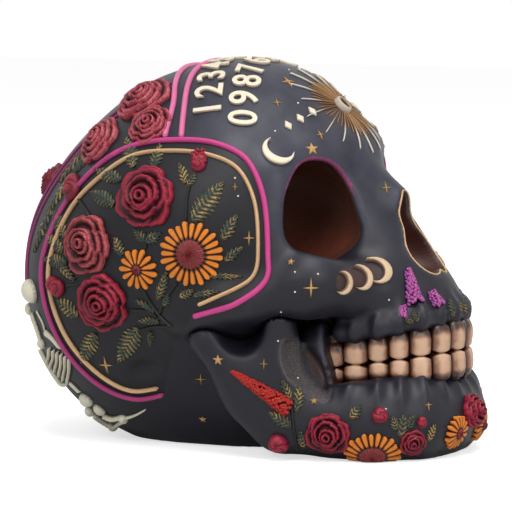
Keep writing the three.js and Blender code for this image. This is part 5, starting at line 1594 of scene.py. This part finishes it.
class SKULL_OT_sunburst(bpy.types.Operator):
    """Lays the boss and the rays on the forehead"""

    bl_idname = "skull.sunburst"
    bl_label = "Sunburst"

    def execute(self, context):
        # Bronze coloured acrylic: thin rays with paler ends and painted shade dark on their flanks, and a
        # dark middle to the boss
        coat = paint(
            "bronze_acrylic_rays",
            colour("bronze"),
            (
                ("along", colour("silver"), 0.35, 0.7, 0.95, 0),
                ("lip", colour("leaf_low"), 0.6, 0.05, 0.92, 0),
                ("boss", colour("recess"), 0.2, 0.8, 0.95, 0),
            ),
            roughness=0.4,
        )
        place = place_at(spots("head", [SUNBURST_ANGLES])[0])
        rng = np.random.default_rng(12)
        rays = []
        for k in range(RAY_COUNT):
            a = 2 * math.pi * (k + 0.3 * rng.random()) / RAY_COUNT
            long = k % 3 == 0
            size, wide, high = LONG_RAY if long else SHORT_RAY
            size = size * (0.9 + 0.18 * rng.random())
            way = np.array([math.sin(a), math.cos(a)])
            rays.append(ray(way, size, wide, high, 1 if long else 0.25))
        boss = relief(
            lambda a: BOSS_HALF / np.sqrt(np.cos(a) ** 2 + (np.sin(a) / BOSS_TALL) ** 2),
            boss_height,
            20,
            48,
            {
                "lip": lambda s, a: smooth_step(s, 0.3, 0.62) + 0 * a,
                "boss": lambda s, a: smooth_step(s, 0.66, 0.5) + 0 * a,
                "along": lambda s, a: 0.55 * smooth_step(s, 0.6, 0.7) + 0 * a,
            },
        )
        shape = lay(joined([*rays, boss]), place)
        add_piece("sunburst_painted", shape, coat, ("sunburst",))
        return {"FINISHED"}


# Bone figure from head to foot. Bars: picture places along them, then width, height and taper. Knobs: picture
# places of the middle and of the end they point to, then half width, half length and height. In millimetres
BONES = (
    ("knob", (32, 291), (26, 275), 4.6, 6.6, 4.2),
    ("knob", (30, 309), (36, 322), 2.4, 3.6, 2.4),
    ("bar", ((33, 312), (39, 330), (43, 343)), 2.0, 1.8, 0.0),
    ("bar", ((37, 310), (43, 322), (46, 332)), 0.7, 0.8, 0.0),
    ("bar", ((46, 331), (53, 338), (61, 349)), 3.4, 2.0, 0.5),
    ("knob", (43, 343), (46, 335), 2.2, 2.6, 2.6),
    ("bar", ((42, 347), (44, 358), (50, 370), (60, 381), (67, 384)), 1.4, 2.2, 0.0),
    ("bar", ((70, 381), (76, 387), (81, 392)), 1.5, 1.5, 0.0),
    ("knob", (87, 399), (82, 392), 3.2, 3.4, 3.2),
    ("knob", (91, 410), (87, 400), 2.4, 3.2, 2.8),
    ("knob", (100, 409), (93, 402), 2.4, 3.0, 2.6),
    ("bar", ((95, 413), (104, 424), (111, 429)), 1.8, 2.4, 0.0),
    ("knob", (112, 428), (104, 424), 1.8, 2.2, 2.8),
    ("bar", ((113, 427), (121, 421), (128, 419)), 1.6, 2.2, 0.0),
    ("bar", ((103, 413), (112, 417), (121, 416)), 1.8, 2.4, 0.0),
    ("knob", (123, 417), (115, 417), 1.6, 2.2, 2.6),
    ("bar", ((125, 417), (134, 415), (146, 409)), 1.2, 1.6, 0.5),
)
# Ribs: how many, the picture places of the first one's ends, and the steps from each to the next
RIB_COUNT, RIB_TOP, RIB_FOOT = 6, ((51, 347), (3.9, 1.9)), ((48.5, 364), (4.0, 3.9))
RIB_BULGE, RIB_WIDTH, RIB_RISE = 0.8, 0.95, 1.9


class SKULL_OT_bone_figure(bpy.types.Operator):
    """Lays the small lying bone figure low on each side of the back"""

    bl_idname = "skull.bone_figure"
    bl_label = "Bone figures"

    def execute(self, context):
        # Bone coloured acrylic with a dark wash in its joints, and painted shade darker on the flanks of its
        # bars and round the rims of its knobs
        layers = (("lip", colour("bone_low"), 0.55, 0.0, 0.9, 0.8),)
        coat = paint("bone_acrylic", colour("bone"), layers, roughness=0.45)

        def bar(places, width, height, taper):
            return surface_cord(seen(places), width, height, spacing=0.7, columns=12, taper=taper)

        def knob(place, toward, across, along, height):
            form = relief(
                lambda a: 1 / np.hypot(np.cos(a) / across, np.sin(a) / along),
                lambda s, a: height * np.sqrt(np.clip(1.03 - s**2, 0, 1)) + 0 * a,
                14,
                32,
                {"lip": lambda s, a: 1 - 0.7 * s**4 + 0 * a},
            )
            point, end = seen([place, toward])
            return lay(form, place_at(point, end))

        makers = {"bar": bar, "knob": knob}
        made = [makers[kind](*measures) for kind, *measures in BONES]
        for k in range(RIB_COUNT):
            top, foot = ([at + k * step for at, step in zip(*end)] for end in (RIB_TOP, RIB_FOOT))
            middle = ((top[0] + foot[0]) / 2 + RIB_BULGE, (top[1] + foot[1]) / 2)
            made.append(bar([top, middle, foot], RIB_WIDTH, RIB_RISE, 0.0))
        add_pair("bone_figure", joined(made), coat)
        return {"FINISHED"}


# Stars: picture place, radius in millimetres, points; dots: picture place alone, and the radius of them all
STAR_PIXELS = (
    ((288, 82), 4.2, 4), ((277, 103), 2.6, 4), ((320, 135), 2.6, 4), ((312, 149), 2.9, 5),
    ((311, 288), 4.4, 4), ((249, 238), 3.2, 4), ((106, 365), 4.2, 4), ((201, 379), 3.0, 4),
    ((264, 364), 2.4, 4), ((428, 405), 2.8, 4), ((235, 187), 1.9, 4), ((218, 360), 2.3, 5),
    ((203, 419), 1.8, 5), ((314, 401), 1.7, 5), ((291, 262), 1.6, 5), ((386, 188), 3.0, 4),
)  # fmt: skip
DOT_PIXELS = (
    (289, 70), (298, 103), (275, 131), (235, 178), (238, 196), (295, 272), (318, 274), (295, 292), (281, 312),
    (278, 341), (298, 378), (389, 300), (372, 311), (447, 394), (465, 386), (386, 409),
)  # fmt: skip
STAR_RISE, DOT_RADIUS = 0.9, 0.42


# A digit's height as a share of its text size, and in millimetres how far its strokes are rounded and widened
DIGIT_SHARE, DIGIT_BEVEL, DIGIT_SWELL = 0.72, 0.18, 0.06


def numeral(text, height, thick):
    """A raised numeral as a flat shape: a text made into a mesh, its corners merged, middle at the origin."""
    curve = bpy.data.curves.new("numeral", "FONT")
    curve.body = text
    curve.size = height / DIGIT_SHARE
    curve.extrude = thick / 2
    curve.bevel_depth = DIGIT_BEVEL
    curve.offset = DIGIT_SWELL
    curve.align_x = "CENTER"
    item = bpy.data.objects.new("numeral", curve)
    bpy.context.scene.collection.objects.link(item)
    bpy.context.view_layer.update()
    mesh = bpy.data.meshes.new_from_object(item.evaluated_get(bpy.context.evaluated_depsgraph_get()))
    cage = bmesh.new()
    cage.from_mesh(mesh)
    bmesh.ops.remove_doubles(cage, verts=cage.verts, dist=0.01)
    bmesh.ops.triangulate(cage, faces=cage.faces)
    points = np.array([v.co for v in cage.verts])
    tris = np.array([[v.index for v in f.verts] for f in cage.faces])
    cage.free()
    bpy.data.objects.remove(item)
    bpy.data.curves.remove(curve)
    bpy.data.meshes.remove(mesh)
    low, high = points.min(0), points.max(0)
    points = points - (low + high) / 2
    top = points[:, 2] / points[:, 2].max()
    points[:, 2] = np.where(top > 0, thick + (points[:, 2] - points[:, 2].max()), -0.5)
    tones = {"lip": np.clip(top, 0, 1)}
    return {"points": points, "quads": np.zeros((0, 4), int), "tris": tris, "tones": tones}


# Two rows of numerals over the crown: picture places of the right end, upwards. The left end mirrors it. The
# middle of a row is found from a point that lies the crown rise above the upper ends
NUMERAL_ROWS = (
    (((207.5, 110), (209, 92.5), (212, 76), (219, 62.5)), "1234567890"),
    (((242.5, 118.8), (243.8, 97.5), (247.5, 78.8), (254, 64)), "0987654321"),
)
CROWN_RISE, NUMERAL_RISE = 14, 1.3
# Diamonds above the temple moon: picture places, and half height in millimetres
DIAMOND_PIXELS, DIAMOND_HALF = ((288, 126), (300, 119), (312, 112)), 2.4


class SKULL_OT_numerals(bpy.types.Operator):
    """Lays two rows of raised numerals over the crown and three small diamonds on each temple"""

    bl_idname = "skull.numerals"
    bl_label = "Numerals"

    def execute(self, context):
        # Off-white acrylic on raised numerals, with painted shade darker towards their feet
        layers = (("lip", colour("umber"), 0.6, 0.0, 0.8, 0),)
        coat = paint("off_white_acrylic_numeral", colour("cream"), layers, spread=2.0)
        height = context.scene.skull_sizes.numeral_height
        made = []
        for places, digits in NUMERAL_ROWS:
            right = seen(places)
            top = (right[-1] + right[-1] * (-1, 1, 1)) / 2 + (0, 0, CROWN_RISE)
            line = np.concatenate([right, settled(top[None])[0], right[::-1] * (-1, 1, 1)])
            fine = settled(route(line, 900))[0]
            fine = route(fine[::25], len(digits))
            ahead = np.gradient(fine, axis=0)
            for k, digit in enumerate(digits):
                point, side, rise, out = place_at(fine[k], fine[k] + ahead[k])
                made.append(lay(numeral(digit, height, NUMERAL_RISE), (point, rise, -side, out)))
        add_piece("crown_numerals_painted", joined(made), coat, ())
        diamonds = []
        for at in DIAMOND_PIXELS:
            form = relief(
                lambda a: DIAMOND_HALF / (np.abs(np.cos(a)) * 1.5 + np.abs(np.sin(a))),
                lambda s, a: 1.2 - 0.5 * s**4 + 0 * a,
                6,
                48,
                {"lip": lambda s, a: 1 - 0.4 * s**6 + 0 * a},
                skirt=0.5,
            )
            diamonds.append(lay(form, place_at(seen(at), spin=20)))
        add_pair("temple_diamonds", joined(diamonds), coat, replaced=False)
        return {"FINISHED"}


class SKULL_OT_stars(bpy.types.Operator):
    """Lays the small stars and dots"""

    bl_idname = "skull.stars"
    bl_label = "Stars and dots"

    def execute(self, context):
        # Gold coloured and off-white acrylic touched on by brush, the stars with painted shade in copper
        # towards their edges
        layers = (("lip", colour("copper"), 0.4, 0.0, 0.5, 0.6),)
        gold = paint("gold_acrylic_star", colour("gold"), layers, roughness=0.38)
        white = paint("white_acrylic_dot", colour("cream"), roughness=0.45)
        made = []
        for at, radius, points in STAR_PIXELS:
            made.append(lay(star(radius, points, STAR_RISE), place_at(seen(at))))
        add_pair("stars", joined(made), gold, replaced=False)
        made = [lay(beads([(0, 0, 0)], [DOT_RADIUS]), place_at(seen(at))) for at in DOT_PIXELS]
        add_pair("dots", joined(made), white, replaced=False)
        return {"FINISHED"}


# Lamps in metres: name, place, size and power; all point at the middle of the skull
LAMPS = (
    ("soft_top", (-0.35, -0.3, 1.1), 0.7, 10.0),
    ("soft_front", (-0.6, -1.0, 0.6), 0.5, 3.5),
    ("soft_side", (-1.1, 0.1, 0.75), 0.5, 3.5),
)
LAMP_TARGET = (0, 0, 0.07)
# Half width of the floor and how far it lies under the skull, in metres
FLOOR_HALF, FLOOR_DROP = 3, 0.0004
# Width of the camera's sensor in millimetres
SENSOR = 36


class SKULL_OT_stage(bpy.types.Operator):
    """Sets the floor, the light and the camera"""

    bl_idname = "skull.stage"
    bl_label = "Stage"

    def execute(self, context):
        scene = context.scene
        scene.view_settings.view_transform = "Standard"
        mesh = bpy.data.meshes.new("floor")
        signs = ((-1, -1), (1, -1), (1, 1), (-1, 1))
        corners = [(x * FLOOR_HALF, y * FLOOR_HALF, -FLOOR_DROP) for x, y in signs]
        mesh.from_pydata(corners, [], [(0, 1, 2, 3)])
        floor = bpy.data.objects.new("floor", mesh)
        scene.collection.objects.link(floor)
        # White seamless paper: to the camera it glows enough to read as white, and it keeps the shadow
        paper = bpy.data.materials.new("white_paper")
        paper.use_nodes = True
        tree = paper.node_tree
        tree.nodes.clear()
        rays = add(tree, "ShaderNodeLightPath")
        sheet = add(tree, "ShaderNodeBsdfDiffuse", {"Color": (0.82, 0.82, 0.82, 1)})
        glow = add(tree, "ShaderNodeEmission", {"Color": (1, 1, 1, 1), "Strength": 0.62})
        both = add(tree, "ShaderNodeAddShader", {0: sheet.outputs[0], 1: glow.outputs[0]})
        shaders = {0: rays.outputs["Is Camera Ray"], 1: sheet.outputs[0], 2: both.outputs[0]}
        mixed = add(tree, "ShaderNodeMixShader", shaders)
        add(tree, "ShaderNodeOutputMaterial", {"Surface": mixed.outputs[0]})
        mesh.materials.append(paper)

        world = bpy.data.worlds.new("studio")
        world.use_nodes = True
        tree = world.node_tree
        tree.nodes.clear()
        rays = add(tree, "ShaderNodeLightPath")
        # The air is white to the camera, in reflections and through glass, and dimmer as a light
        kinds = {0: rays.outputs["Is Camera Ray"], 1: rays.outputs["Is Glossy Ray"]}
        first = add(tree, "ShaderNodeMath", kinds, operation="MAXIMUM")
        kinds = {0: first.outputs[0], 1: rays.outputs["Is Transmission Ray"]}
        shown = add(tree, "ShaderNodeMath", kinds, operation="MAXIMUM")
        strength = add(tree, "ShaderNodeMapRange", {"Value": shown.outputs[0], 3: 0.42, 4: 1.0})
        air = add(tree, "ShaderNodeBackground", {"Color": (1, 1, 1, 1), "Strength": strength.outputs[0]})
        add(tree, "ShaderNodeOutputWorld", {"Surface": air.outputs[0]})
        scene.world = world

        for name, place, size, power in LAMPS:
            lamp = bpy.data.lights.new(name, "AREA")
            lamp.size = size
            lamp.energy = power
            source = bpy.data.objects.new(name, lamp)
            source.location = place
            source.rotation_mode = "QUATERNION"
            source.rotation_quaternion = look(np.subtract(LAMP_TARGET, place))
            scene.collection.objects.link(source)

        camera = bpy.data.cameras.new("camera")
        camera.lens = FOCUS * SENSOR / PICTURE
        camera.sensor_width = SENSOR
        camera.clip_end = 20
        view = bpy.data.objects.new("camera", camera)
        back = camera_axes()[0]
        view.location = (VIEW_TARGET + VIEW_REACH * back) / 1000
        view.rotation_mode = "QUATERNION"
        view.rotation_quaternion = look(-back)
        scene.collection.objects.link(view)
        scene.camera = view
        return {"FINISHED"}


def look(way):
    """Rotation that turns -Z along way, with Y up."""
    return Vector([float(v) for v in way]).to_track_quat("-Z", "Y")


class SKULL_PT_panel(bpy.types.Panel):
    """Lists the steps, sizes and colours"""

    bl_label = "Decorative skull"
    bl_idname = "SKULL_PT_panel"
    bl_space_type = "VIEW_3D"
    bl_region_type = "UI"
    bl_category = "Skull"

    def draw(self, context):
        for step in STEPS:
            self.layout.operator(step.bl_idname)
        for group in (context.scene.skull_sizes, context.scene.skull_colours):
            for key in group.__annotations__:
                self.layout.prop(group, key)


STEPS = (
    SKULL_OT_castings,
    SKULL_OT_teeth,
    SKULL_OT_cords,
    SKULL_OT_leaves,
    SKULL_OT_roses,
    SKULL_OT_ray_flowers,
    SKULL_OT_buds,
    SKULL_OT_moons,
    SKULL_OT_sunburst,
    SKULL_OT_bone_figure,
    SKULL_OT_numerals,
    SKULL_OT_stars,
    SKULL_OT_stage,
)
CLASSES = (SkullColours, SkullSizes, *STEPS, SKULL_PT_panel)


def register():
    """Registers the classes and hangs the settings on the scene."""
    for kind in CLASSES:
        bpy.utils.register_class(kind)
    bpy.types.Scene.skull_colours = bpy.props.PointerProperty(type=SkullColours)
    bpy.types.Scene.skull_sizes = bpy.props.PointerProperty(type=SkullSizes)


def unregister():
    """Takes the settings and the classes away again."""
    del bpy.types.Scene.skull_colours
    del bpy.types.Scene.skull_sizes
    for kind in reversed(CLASSES):
        bpy.utils.unregister_class(kind)


def main():
    """Builds every piece in order."""
    register()
    for step in STEPS:
        group, name = step.bl_idname.split(".")
        getattr(getattr(bpy.ops, group), name)()


if __name__ == "__main__":
    main()
